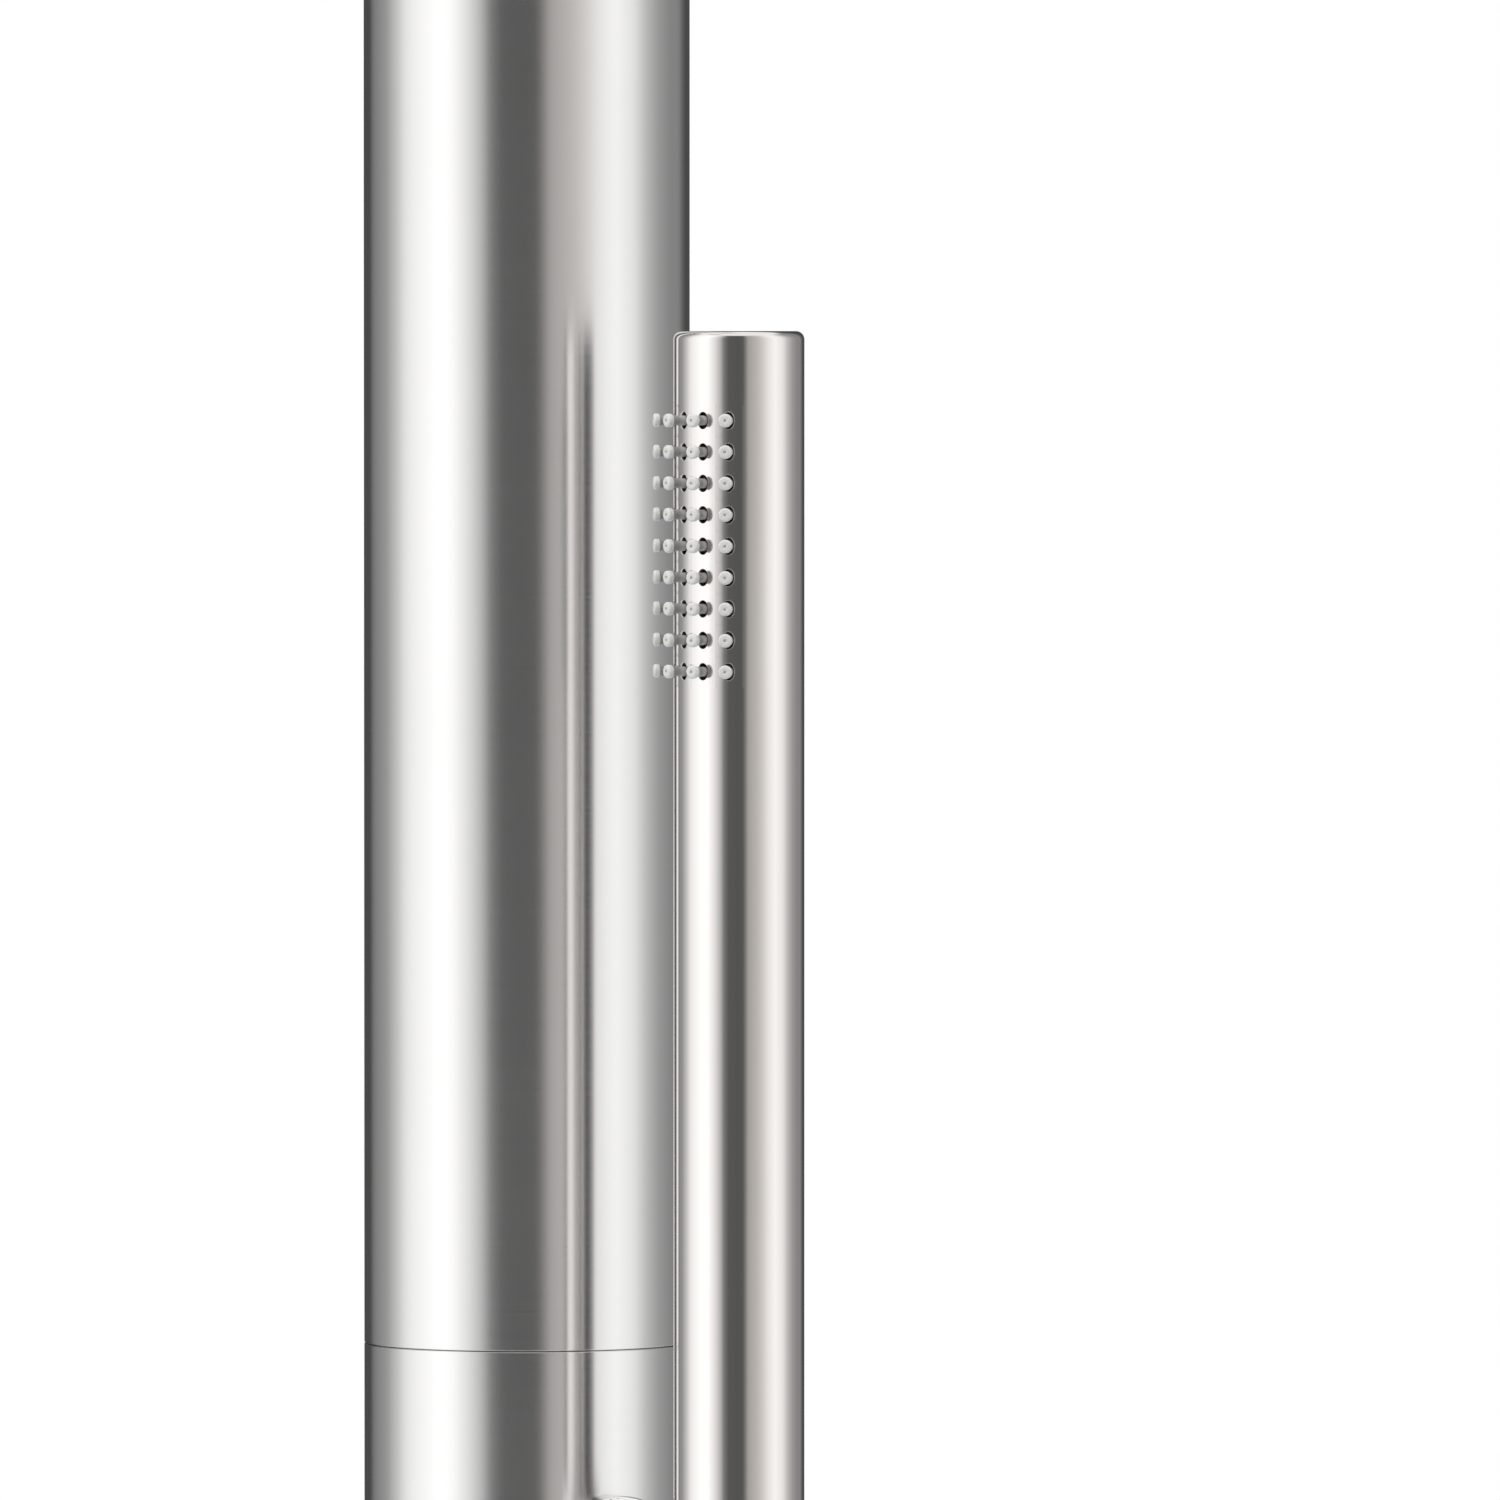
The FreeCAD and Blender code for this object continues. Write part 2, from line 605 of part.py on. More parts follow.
def top_cap():
    seat = point(z=POST_HEIGHT - CAP_T)
    lid = softened_rod(POST_R, seat, point(z=POST_HEIGHT), CAP_ROUND)
    foot = seat - point(z=CAP_SPIGOT)
    spigot_r = POST_BORE_R - SLIP
    spigot = rod(spigot_r, foot, seat)
    return merged(lid, spigot).cut([rod(spigot_r - CAP_WALL, foot, seat), cap_ring(SNUG)])


def cap_o_ring():
    return cap_ring(0.0)


# ---- Risers and pipes ----
def riser(x):
    bottom = point(x, 0, BLOCK_TOP - RISER_SEAT)
    top = point(x, 0, MIXER_Z - MIXER_DROP + RISER_SEAT)
    return tube(RISER_R, RISER_R - RISER_WALL, bottom, top)


def evenly_between(bottom, top, count):
    """Heights that divide a run of pipe into equal lengths."""
    return [bottom + (top - bottom) * place / (count + 1) for place in range(1, count + 1)]


def riser_nuts():
    nuts = []
    for foot in inlet_places(BLOCK_TOP) + inlet_places(MIXER_Z - MIXER_DROP - NUT_T):
        top = foot + point(z=NUT_T)
        nuts.append(hexagon(NUT_ACROSS, foot, top).cut(rod(RISER_R + SNUG, foot, top)))
    return nuts


def pipe_clips():
    """Spacers that keep the pipes off the post's wall."""
    clips = []
    rise = point(z=CLIP_T)
    for z in evenly_between(BLOCK_TOP, MIXER_Z - MIXER_DROP, CLIPS_PER_RUN):
        holes = [rod(RISER_R + SNUG, place, place + rise) for place in inlet_places(z)]
        clips.append(rod(POST_BORE_R - SLIP, point(z=z), point(z=z) + rise).cut(holes))
    for z in evenly_between(DIVERTER_Z + DIVERTER_HALF, OVERHEAD_Z - ELBOW_BELOW, CLIPS_PER_RUN):
        place = point(0, PIPE_Y, z)
        hole = rod(PIPE_R + SNUG, place, place + rise)
        clips.append(rod(POST_BORE_R - SLIP, point(z=z), point(z=z) + rise).cut(hole))
    return clips


def pipe_between(bottom, top):
    return tube(PIPE_R, PIPE_R - PIPE_WALL, point(0, PIPE_Y, bottom), point(0, PIPE_Y, top))


def mixed_pipe():
    return pipe_between(MIXER_OUTLET_TOP - PIPE_SEAT, DIVERTER_Z - DIVERTER_HALF + PIPE_SEAT)


def riser_pipe():
    return pipe_between(DIVERTER_Z + DIVERTER_HALF - PIPE_SEAT, OVERHEAD_Z - ELBOW_BELOW + PIPE_SEAT)


# ---- Mixer ----
def port_holes(back, front):
    """The three water ways through a plate of the cartridge: two in below, one out above."""
    places = [(-PORT_X, -PORT_DROP), (PORT_X, -PORT_DROP), (0.0, PORT_X)]
    return [rod(PORT_R, forward(back, MIXER_Z + z, x), forward(front, MIXER_Z + z, x)) for x, z in places]


def mixer_body():
    foot_z = MIXER_Z - MIXER_DROP
    outlet = point(0, PIPE_Y, MIXER_Z)
    outlet_top = point(0, PIPE_Y, MIXER_OUTLET_TOP)
    body = merged(
        rod(MIXER_R, forward(-MIXER_HALF, MIXER_Z), forward(MIXER_HALF, MIXER_Z)),
        block(point(-MIXER_FOOT_X, -MIXER_FOOT_Y, foot_z), point(MIXER_FOOT_X, MIXER_FOOT_Y, MIXER_Z)),
        rod(PIPE_R + HOUSING_WALL, outlet, outlet_top),
    )
    socket_back = MIXER_HALF - SHANK_LENGTH
    cuts = [rod(SHANK_R + SNUG, forward(socket_back, MIXER_Z), forward(MIXER_HALF, MIXER_Z))]
    cuts += port_holes(-PIPE_Y, socket_back)
    cuts.append(rod(MIXED_BORE_R, outlet + point(z=PORT_X), outlet_top))
    cuts.append(rod(PIPE_R + SNUG, outlet_top - point(z=PIPE_SEAT), outlet_top))
    for foot in inlet_places(foot_z):
        cuts.append(rod(RISER_R + SNUG, foot, foot + point(z=RISER_SEAT)))
        cuts.append(rod(RISER_R - RISER_WALL, foot, foot + point(z=MIXER_DROP - PORT_DROP)))
    return body.cut(cuts)


def cartridge_housing():
    """Holds the cartridge, screwed into the mixing body, with a barrel that closes onto the post."""
    barrel = coped(rod(BARREL_R, point(z=MIXER_Z), forward(BARREL_END, MIXER_Z)), MIXER_Z)
    neck = rod(NECK_R, forward(MIXER_HALF, MIXER_Z), forward(BARREL_END, MIXER_Z))
    shank_back = MIXER_HALF - SHANK_LENGTH
    shank = rod(SHANK_R, forward(shank_back, MIXER_Z), forward(MIXER_HALF, MIXER_Z))
    floor = MIXER_HALF + HOUSING_FLOOR
    bore = rod(CARTRIDGE_R + SLIP, forward(floor, MIXER_Z), forward(BARREL_END, MIXER_Z))
    return merged(barrel, neck, shank).cut([bore] + port_holes(shank_back, floor))


def cartridge_seal():
    back = CASE_BACK - CARTRIDGE_SEAL_T
    disc = rod(CARTRIDGE_R, forward(back, MIXER_Z), forward(CASE_BACK, MIXER_Z))
    return disc.cut(port_holes(back, CASE_BACK))


def cartridge_case():
    body = rod(CARTRIDGE_R, forward(CASE_BACK, MIXER_Z), forward(CASE_FRONT, MIXER_Z))
    bore = rod(CASE_BORE_R, forward(DISCS_BACK, MIXER_Z), forward(CASE_FRONT, MIXER_Z))
    return body.cut([bore] + port_holes(CASE_BACK, DISCS_BACK))


def fixed_disc():
    front = DISCS_BACK + DISC_T
    disc = rod(CASE_BORE_R - SLIP, forward(DISCS_BACK, MIXER_Z), forward(front, MIXER_Z))
    return disc.cut(port_holes(DISCS_BACK, front))


def moving_disc():
    """Ceramic disc that covers and uncovers the ports, with a channel across its back."""
    back = DISCS_BACK + DISC_T
    disc = rod(CASE_BORE_R - SLIP, forward(back, MIXER_Z), forward(CARRIER_BACK, MIXER_Z))
    channel = rod(PORT_X, forward(back, MIXER_Z), forward(back + DISC_T / 2, MIXER_Z))
    return disc.cut(channel)


def cartridge_nut():
    back = forward(CASE_FRONT, MIXER_Z)
    front = forward(BARREL_END, MIXER_Z)
    return tube(CARTRIDGE_R, CARTRIDGE_NUT_BORE_R, back, front)


def dome_shroud():
    """Part of a ball round the lever's pin, so the handle can swing past it."""
    centre = forward(PIVOT_REACH, MIXER_Z)
    ball = Part.makeSphere(DOME_R, centre)
    inside = Part.makeSphere(DOME_R - DOME_WALL, centre)
    behind = rod(2 * DOME_R, forward(PIVOT_REACH - DOME_R, MIXER_Z), forward(BARREL_END, MIXER_Z))
    opening = rod(DOME_OPENING_R, centre, forward(PIVOT_REACH + DOME_R, MIXER_Z))
    return ball.cut([inside, behind, opening])


def lever_carrier():
    front = CASE_FRONT - FREE
    body = rod(CASE_BORE_R - RUN, forward(CARRIER_BACK, MIXER_Z), forward(front, MIXER_Z))
    half_width = STEM_SIDE / 2 + SLIP
    tail_swing = STEM_TAIL + STEM_SIDE / 2 * math.sin(math.radians(LEVER_LIFT))
    slot_back = PIVOT_REACH - tail_swing - FREE
    slot = block(
        point(-half_width, -front, MIXER_Z - SLOT_BELOW),
        point(half_width, -slot_back, MIXER_Z + SLOT_ABOVE),
    )
    half_pin = LEVER_PIN_LENGTH / 2
    pin_hole = rod(
        LEVER_PIN_R + SNUG / 2,
        forward(PIVOT_REACH, MIXER_Z, -half_pin),
        forward(PIVOT_REACH, MIXER_Z, half_pin),
    )
    return body.cut([slot, pin_hole])


def lever_pin():
    half_pin = LEVER_PIN_LENGTH / 2
    return rod(
        LEVER_PIN_R, forward(PIVOT_REACH, MIXER_Z, -half_pin), forward(PIVOT_REACH, MIXER_Z, half_pin)
    )


def lever_stem():
    half = STEM_SIDE / 2
    bar = block(
        point(-half, -STEM_FRONT, MIXER_Z - half),
        point(half, STEM_TAIL - PIVOT_REACH, MIXER_Z + half),
    )
    pin_hole = rod(
        LEVER_PIN_R + RUN,
        forward(PIVOT_REACH, MIXER_Z, -STEM_SIDE),
        forward(PIVOT_REACH, MIXER_Z, STEM_SIDE),
    )
    return bar.cut(pin_hole)


def mixer_handle():
    """Round handle: a hollow cap with a boss for the stem inside it."""
    back = forward(HANDLE_BACK, MIXER_Z)
    front = forward(HANDLE_FRONT, MIXER_Z)
    inner_front = forward(HANDLE_FRONT - HANDLE_WALL, MIXER_Z)
    cap = softened_rod(BARREL_R, back, front, HANDLE_ROUND)
    cap = cap.cut(rod(BARREL_R - HANDLE_WALL, back, inner_front))
    boss = rod(HANDLE_BOSS_R, forward(HANDLE_BOSS_BACK, MIXER_Z), inner_front)
    half = STEM_SIDE / 2 + SNUG
    stem_socket = block(
        point(-half, -STEM_FRONT - SNUG, MIXER_Z - half),
        point(half, -HANDLE_BACK, MIXER_Z + half),
    )
    rod_foot = forward(LEVER_ROD_REACH, MIXER_Z + LEVER_ROD_R)
    rod_hole = rod(LEVER_ROD_R + SNUG, rod_foot, rod_foot + point(z=BARREL_R))
    grub = forward(HANDLE_GRUB_REACH, MIXER_Z)
    grub_hole = rod(SMALL_GRUB_R + SNUG, grub, grub - point(z=BARREL_R))
    return merged(cap, boss).cut([stem_socket, rod_hole, grub_hole])


def lever_rod():
    foot = forward(LEVER_ROD_REACH, MIXER_Z + LEVER_ROD_R)
    return softened_rod(LEVER_ROD_R, foot, foot + point(z=LEVER_ROD_TOP - LEVER_ROD_R), LEVER_ROD_ROUND)


def handle_grub_screw():
    tip = forward(HANDLE_GRUB_REACH, MIXER_Z - STEM_SIDE / 2)
    end = tip - point(z=SMALL_GRUB_LENGTH)
    key = hexagon(SMALL_KEY_ACROSS, end, end + point(z=SMALL_KEY_DEPTH))
    return rod(SMALL_GRUB_R, tip, end).cut(key)


# ---- Diverter and hose outlet ----
def diverter_body():
    axis = point(0, PIPE_Y, DIVERTER_Z)
    rise = point(z=DIVERTER_HALF)
    boss_end = forward(DIVERTER_BOSS_REACH, DIVERTER_Z)
    outlet_end = point(OUTLET_BOSS_REACH, 0, DIVERTER_Z)
    body = merged(
        rod(DIVERTER_R, axis - rise, axis + rise),
        rod(DIVERTER_BOSS_R, axis, boss_end),
        rod(OUTLET_BOSS_R, point(z=DIVERTER_Z), outlet_end),
    )
    chamber = rise - point(z=PIPE_SEAT)
    land = point(z=CHAMBER_LAND)
    cuts = [
        rod(PIPE_R + SNUG, axis - rise, axis - chamber),
        rod(PIPE_R + SNUG, axis + chamber, axis + rise),
        rod(PIPE_R - PIPE_WALL, axis - rise, axis + rise),
        rod(CHAMBER_R, axis - chamber + land, axis + chamber - land),
        rod(HEADWORK_THREAD_R + SNUG, axis, boss_end),
        rod(WATER_BORE_R, point(z=DIVERTER_Z), outlet_end),
        rod(OUTLET_SHANK_R + SNUG, outlet_end - point(OUTLET_SHANK_DEPTH), outlet_end),
    ]
    return body.cut(cuts)


def diverter_headwork():
    """Bearing of the diverter's spindle, screwed into the diverter's body through the post."""
    shoulder = forward(DIVERTER_BOSS_REACH, DIVERTER_Z)
    back = forward(DIVERTER_BOSS_REACH - HEADWORK_THREAD, DIVERTER_Z)
    front = forward(COLLAR_END - HEADWORK_SETBACK, DIVERTER_Z)
    body = merged(rod(HEADWORK_THREAD_R, back, shoulder), rod(HEADWORK_R, shoulder, front))
    return body.cut(rod(SPINDLE_R + RUN, back, front))


def diverter_collar():
    """Trim tube round the headwork, its back end hollowed to the post."""
    start = point(z=DIVERTER_Z)
    end = forward(COLLAR_END, DIVERTER_Z)
    outer_r = HEADWORK_R + SLIP + COLLAR_WALL
    return coped(tube(outer_r, HEADWORK_R + SLIP, start, end), DIVERTER_Z)


def diverter_spindle():
    plate_back = DIVERTER_BOSS_REACH - HEADWORK_THREAD - SPINDLE_PLATE_T - SPINDLE_PLATE_GAP
    plate = rod(
        SPINDLE_PLATE_R,
        forward(plate_back, DIVERTER_Z),
        forward(plate_back + SPINDLE_PLATE_T, DIVERTER_Z),
    )
    return merged(plate, rod(SPINDLE_R, forward(plate_back, DIVERTER_Z), forward(SPINDLE_FRONT, DIVERTER_Z)))


def diverter_knob():
    """Round knob with a short pin that points to the way the water goes."""
    back = forward(KNOB_BACK, DIVERTER_Z)
    body = softened_rod(KNOB_R, back, forward(KNOB_FRONT, DIVERTER_Z), KNOB_ROUND)
    middle = forward((KNOB_BACK + KNOB_FRONT) / 2, DIVERTER_Z)
    pin_foot = middle + point(z=KNOB_R / 2)
    pin = softened_rod(KNOB_PIN_R, pin_foot, middle + point(z=KNOB_PIN_TOP), KNOB_PIN_ROUND)
    bore = rod(SPINDLE_R + SNUG, back, forward(SPINDLE_FRONT + SNUG, DIVERTER_Z))
    grub = forward(KNOB_GRUB_REACH, DIVERTER_Z)
    grub_hole = rod(SMALL_GRUB_R + SNUG, grub, grub - point(z=KNOB_R + PAST))
    return merged(body, pin).cut([bore, grub_hole])


def knob_grub_screw():
    tip = forward(KNOB_GRUB_REACH, DIVERTER_Z - SPINDLE_R)
    end = tip - point(z=SMALL_GRUB_LENGTH)
    key = hexagon(SMALL_KEY_ACROSS, end, end + point(z=SMALL_KEY_DEPTH))
    return rod(SMALL_GRUB_R, tip - point(z=SNUG), end).cut(key)


def outlet_elbow():
    """Turns the water down to the hose's thread beside the post."""
    start = point(z=DIVERTER_Z)
    end = point(OUTLET_END, 0, DIVERTER_Z)
    shank_start = point(OUTLET_BOSS_REACH - OUTLET_SHANK_DEPTH, 0, DIVERTER_Z)
    barrel = coped(softened_rod(OUTLET_R, start, end, OUTLET_ROUND), DIVERTER_Z)
    nipple_top = point(OUTLET_NIPPLE_X, 0, DIVERTER_Z)
    shoulder_foot = nipple_top - point(z=OUTLET_R + OUTLET_SHOULDER_T)
    nipple_foot = shoulder_foot - point(z=OUTLET_THREAD)
    body = merged(
        barrel,
        rod(OUTLET_SHANK_R, shank_start, point(POST_R + PAST, 0, DIVERTER_Z)),
        rod(OUTLET_SHOULDER_R, nipple_top, shoulder_foot),
        rod(HOSE_THREAD_R, shoulder_foot, nipple_foot),
    )
    return body.cut([rod(WATER_BORE_R, shank_start, nipple_top), rod(WATER_BORE_R, nipple_top, nipple_foot)])


# ---- Hand shower's holder ----
def arm_nut_face():
    """How far out the nut's corners can lie inside the round sleeve."""
    corner = ARM_NUT_ACROSS / math.sqrt(3)
    return math.sqrt((SLEEVE_BORE_R - SNUG) ** 2 - corner**2)


def holder_arm():
    start = point(z=HOLDER_Z)
    shoulder = point(ARM_END, 0, HOLDER_Z)
    rosette_face = point(POST_R + ARM_ROSETTE_T, 0, HOLDER_Z)
    rosette = softened_rod(ARM_ROSETTE_R, start, rosette_face, ARM_ROSETTE_ROUND)
    outside = coped(merged(rosette, rod(ARM_R, start, shoulder)), HOLDER_Z)
    stud_start = point(arm_nut_face() - ARM_NUT_T - ARM_STUD_PROUD, 0, HOLDER_Z)
    stud = rod(ARM_STUD_R, stud_start, rosette_face)
    pivot_end = point(WEB_BACK - SLIP, 0, HOLDER_Z)
    pivot = rod(PIVOT_R, shoulder, pivot_end)
    screw_hole = rod(PIVOT_SCREW_R + SNUG, pivot_end - point(PIVOT_SCREW_LENGTH), pivot_end)
    return merged(outside, stud, pivot).cut(screw_hole)


def arm_nut():
    face = point(arm_nut_face(), 0, HOLDER_Z)
    back = face - point(ARM_NUT_T)
    return hexagon(ARM_NUT_ACROSS, back, face).cut(rod(ARM_STUD_R + SNUG, back, face))


def pivot_screw():
    seat = point(WEB_FRONT + SNUG, 0, HOLDER_Z)
    head_end = seat + point(PIVOT_HEAD_T)
    head = rod(PIVOT_HEAD_R, seat, head_end)
    shank = rod(PIVOT_SCREW_R, seat - point(PIVOT_SCREW_LENGTH), seat)
    key = hexagon(PIVOT_KEY_ACROSS, head_end - point(PIVOT_KEY_DEPTH), head_end)
    return merged(head, shank).cut(key)


def hose_slot():
    """Space that the hose passes, from the holder's axis out through its front."""
    half = HOSE_SLOT / 2
    low = point(HANDSET_X - half, -2 * CUP_R, CUP_BOTTOM - PAST)
    return block(low, point(HANDSET_X + half, 0, CUP_TOP + PAST))


def holder_cup():
    axis = point(HANDSET_X, 0, CUP_BOTTOM)
    top = axis + point(z=CUP_ABOVE + CUP_BELOW)
    boss_start = point(ARM_END + SLIP, 0, HOLDER_Z)
    middle = point(HANDSET_X, 0, HOLDER_Z)
    body = merged(rod(CUP_R, axis, top), rod(ARM_R, boss_start, middle))
    cuts = [
        rod(CUP_BORE_R, axis + point(z=CUP_LIP_T), top),
        rod(CUP_LIP_R, axis, top),
        rod(PIVOT_R + RUN, boss_start, point(WEB_BACK, 0, HOLDER_Z)),
        rod(PIVOT_SCREW_R + SLIP, boss_start, middle),
        rod(PIVOT_HEAD_R + SLIP, point(WEB_FRONT, 0, HOLDER_Z), middle),
        hose_slot(),
    ]
    return body.cut(cuts)


def holder_liner():
    """Soft lining whose bore tapers like the hand shower's foot."""
    seat = point(HANDSET_X, 0, CUP_BOTTOM + CUP_LIP_T)
    top = point(HANDSET_X, 0, CUP_TOP)
    taper = cone(foot_radius(seat.z) + SLIP, foot_radius(top.z) + SLIP, seat, top)
    return rod(LINER_R, seat, top).cut([taper, hose_slot()])


# ---- Hand shower ----
def handset_axis(z):
    return point(HANDSET_X, 0, z)


def foot_radius(z):
    """Radius of the hand shower's tapered foot at a height."""
    return FOOT_R + (z - HANDSET_BOTTOM) * FOOT_TAPER


def handset_nozzles():
    """Height and angle of each nozzle."""
    first = NOZZLE_MIDDLE - (NOZZLE_COLUMNS - 1) / 2 * NOZZLE_STEP
    return [
        (NOZZLE_TOP_Z - row * NOZZLE_PITCH, first + column * NOZZLE_STEP)
        for row in range(NOZZLE_ROWS)
        for column in range(NOZZLE_COLUMNS)
    ]


def nozzle_hole(z, angle):
    """Upright slot with round ends through the shell."""
    low, high = point(z=-NOZZLE_HOLE_RISE), point(z=NOZZLE_HOLE_RISE)
    inner, outer = point(CORE_R), point(HANDSET_R + PAST)
    half_width = point(y=NOZZLE_HOLE_R)
    slot = merged(
        rod(NOZZLE_HOLE_R, inner + low, outer + low),
        rod(NOZZLE_HOLE_R, inner + high, outer + high),
        block(inner + low - half_width, outer + high + half_width),
    )
    slot.rotate(point(), UP, angle)
    return slot.translated(handset_axis(z))


def handset_shell():
    body = softened_rod(HANDSET_R, handset_axis(FOOT_TOP), handset_axis(HANDSET_TOP), HANDSET_ROUND)
    cuts = [rod(HANDSET_BORE_R, handset_axis(FOOT_TOP), handset_axis(HANDSET_TOP - HANDSET_CROWN))]
    cuts += [nozzle_hole(z, angle) for z, angle in handset_nozzles()]
    return body.cut(cuts)


def nozzle_strip():
    """Silicone strip behind the shell. A nozzle stands through each hole: a neck with a bead at its tip."""
    half_angle = (NOZZLE_COLUMNS - 1) / 2 * NOZZLE_STEP + STRIP_MARGIN_ANGLE
    foot = handset_axis(NOZZLE_TOP_Z - NOZZLE_SPAN - STRIP_MARGIN)
    height = NOZZLE_SPAN + 2 * STRIP_MARGIN
    sheet = Part.makeCylinder(STRIP_R, height, foot, UP, 2 * half_angle)
    sheet = sheet.cut(rod(STRIP_R - STRIP_T, foot, foot + point(z=height)))
    sheet.rotate(foot, UP, NOZZLE_MIDDLE - half_angle)
    nozzles = []
    jets = []
    for z, angle in handset_nozzles():
        jet_start, neck_start, bead_start, tip = (
            turned_about_z(handset_axis(z), radius, angle)
            for radius in (CORE_R, STRIP_R - STRIP_T / 2, NOZZLE_TIP - NOZZLE_BEAD_LENGTH, NOZZLE_TIP)
        )
        nozzles.append(rod(NOZZLE_NECK_R, neck_start, bead_start))
        nozzles.append(softened_rod(NOZZLE_BEAD_R, bead_start, tip, NOZZLE_BEAD_ROUND))
        jets.append(rod(NOZZLE_JET_R, jet_start, tip))
    return merged(sheet, *nozzles).cut(jets)


def spray_core():
    """Inner tube that leads the water to the strip; its ends fit the shell's bore."""
    bottom = handset_axis(CORE_BOTTOM)
    top = handset_axis(CORE_TOP)
    end = point(z=CORE_END_T)
    body = merged(
        rod(CORE_R, bottom, top),
        rod(STRIP_R, bottom, bottom + end),
        rod(STRIP_R, top - end, top),
    )
    cuts = [rod(CORE_R - CORE_WALL, bottom, top - end)]
    for z, angle in handset_nozzles():
        outer = turned_about_z(handset_axis(z), CORE_R + PAST, angle)
        cuts.append(rod(CORE_HOLE_R, handset_axis(z), outer))
    return body.cut(cuts)


def handset_foot():
    """Tapered foot that stands in the holder, with a plug in the shell and the hose's thread below."""
    bottom = handset_axis(HANDSET_BOTTOM)
    neck_foot = bottom - point(z=HANDSET_NECK)
    thread_foot = neck_foot - point(z=HANDSET_THREAD)
    body = merged(
        rod(HOSE_THREAD_R, thread_foot, neck_foot),
        rod(HANDSET_NECK_R, neck_foot, bottom),
        cone(FOOT_R, HANDSET_R, bottom, handset_axis(FOOT_TOP)),
        rod(HANDSET_BORE_R - SNUG, handset_axis(FOOT_TOP), handset_axis(PLUG_TOP)),
    )
    return body.cut(rod(WATER_BORE_R, thread_foot, handset_axis(PLUG_TOP)))


# ---- Overhead arm ----
def arm_elbow():
    axis = point(0, PIPE_Y, OVERHEAD_Z)
    foot = axis - point(z=ELBOW_BELOW)
    socket_end = forward(ELBOW_SOCKET_REACH, OVERHEAD_Z)
    body = merged(
        rod(ELBOW_R, foot, axis + point(z=ELBOW_ABOVE)),
        rod(ELBOW_SOCKET_R, axis, socket_end),
    )
    cuts = [
        rod(PIPE_R + SNUG, foot, foot + point(z=PIPE_SEAT)),
        rod(PIPE_R - PIPE_WALL, foot, axis),
        rod(OVERHEAD_R - OVERHEAD_WALL, axis, socket_end),
        rod(OVERHEAD_R + SNUG, forward(OVERHEAD_INSET, OVERHEAD_Z), socket_end),
    ]
    return body.cut(cuts)


def swept_arm(radius):
    """Solid bar along the arm's path: out to the front, round a quarter bend and down."""
    start = forward(OVERHEAD_INSET, OVERHEAD_Z)
    bend_start = forward(OVERHEAD_REACH - OVERHEAD_BEND_R, OVERHEAD_Z)
    bend_end = forward(OVERHEAD_REACH, OVERHEAD_Z - OVERHEAD_BEND_R)
    centre = bend_start - point(z=OVERHEAD_BEND_R)
    middle = rotated(bend_start, centre, point(1), 45.0)
    end = forward(OVERHEAD_REACH, ARM_FOOT_Z)
    path = Part.Wire([
        Part.LineSegment(start, bend_start).toShape(),
        Part.Arc(bend_start, middle, bend_end).toShape(),
        Part.LineSegment(bend_end, end).toShape(),
    ])
    outline = Part.Wire(Part.makeCircle(radius, start, bend_start - start))
    return path.makePipeShell([outline], True, True)


def head_arm():
    return swept_arm(OVERHEAD_R).cut(swept_arm(OVERHEAD_R - OVERHEAD_WALL))


def arm_rosette():
    start = point(z=OVERHEAD_Z)
    end = forward(POST_R + OVERHEAD_ROSETTE_T, OVERHEAD_Z)
    disc = softened_rod(OVERHEAD_ROSETTE_R, start, end, OVERHEAD_ROSETTE_ROUND)
    return coped(disc.cut(rod(OVERHEAD_R + SLIP, start, end)), OVERHEAD_Z)


# ---- Overhead head ----
def head_axis(z):
    return forward(OVERHEAD_REACH, z)


def ball_stud():
    """Ball that carries the head, on a stud in the arm's end."""
    arm_foot = head_axis(ARM_FOOT_Z)
    collar_foot = head_axis(COLLAR_BOTTOM_Z)
    shank_top = arm_foot + point(z=OVERHEAD_DROP)
    body = merged(
        Part.makeSphere(BALL_R, head_axis(BALL_Z)),
        rod(BALL_NECK_R, head_axis(BALL_Z), collar_foot),
        rod(OVERHEAD_R, collar_foot, arm_foot),
        rod(OVERHEAD_R - OVERHEAD_WALL - SNUG, arm_foot, shank_top),
    )
    return body.cut(rod(STUD_BORE_R, head_axis(BALL_Z - BALL_R), shank_top))


def ball_band(radius, below, above):
    """Ball round the joint's centre, cut flat below and above."""
    centre = head_axis(BALL_Z)
    slab = rod(2 * radius, centre - point(z=below), centre + point(z=above))
    return Part.makeSphere(radius, centre).common(slab)


def ball_seat():
    return ball_band(SEAT_R, SEAT_BELOW, SEAT_ABOVE).cut(Part.makeSphere(SEAT_BORE_R, head_axis(BALL_Z)))


def ball_nut():
    """Cap nut that holds the ball and its seat in the hub."""
    foot = head_axis(BALL_Z - BALL_NUT_SKIRT)
    top = head_axis(BALL_Z + BALL_NUT_ABOVE)
    body = rod(BALL_NUT_R, foot, top)
    thread = rod(BALL_NUT_R - BALL_NUT_WALL, foot, head_axis(BALL_Z))
    return body.cut([thread, Part.makeSphere(HEAD_SOCKET_R, head_axis(BALL_Z))])


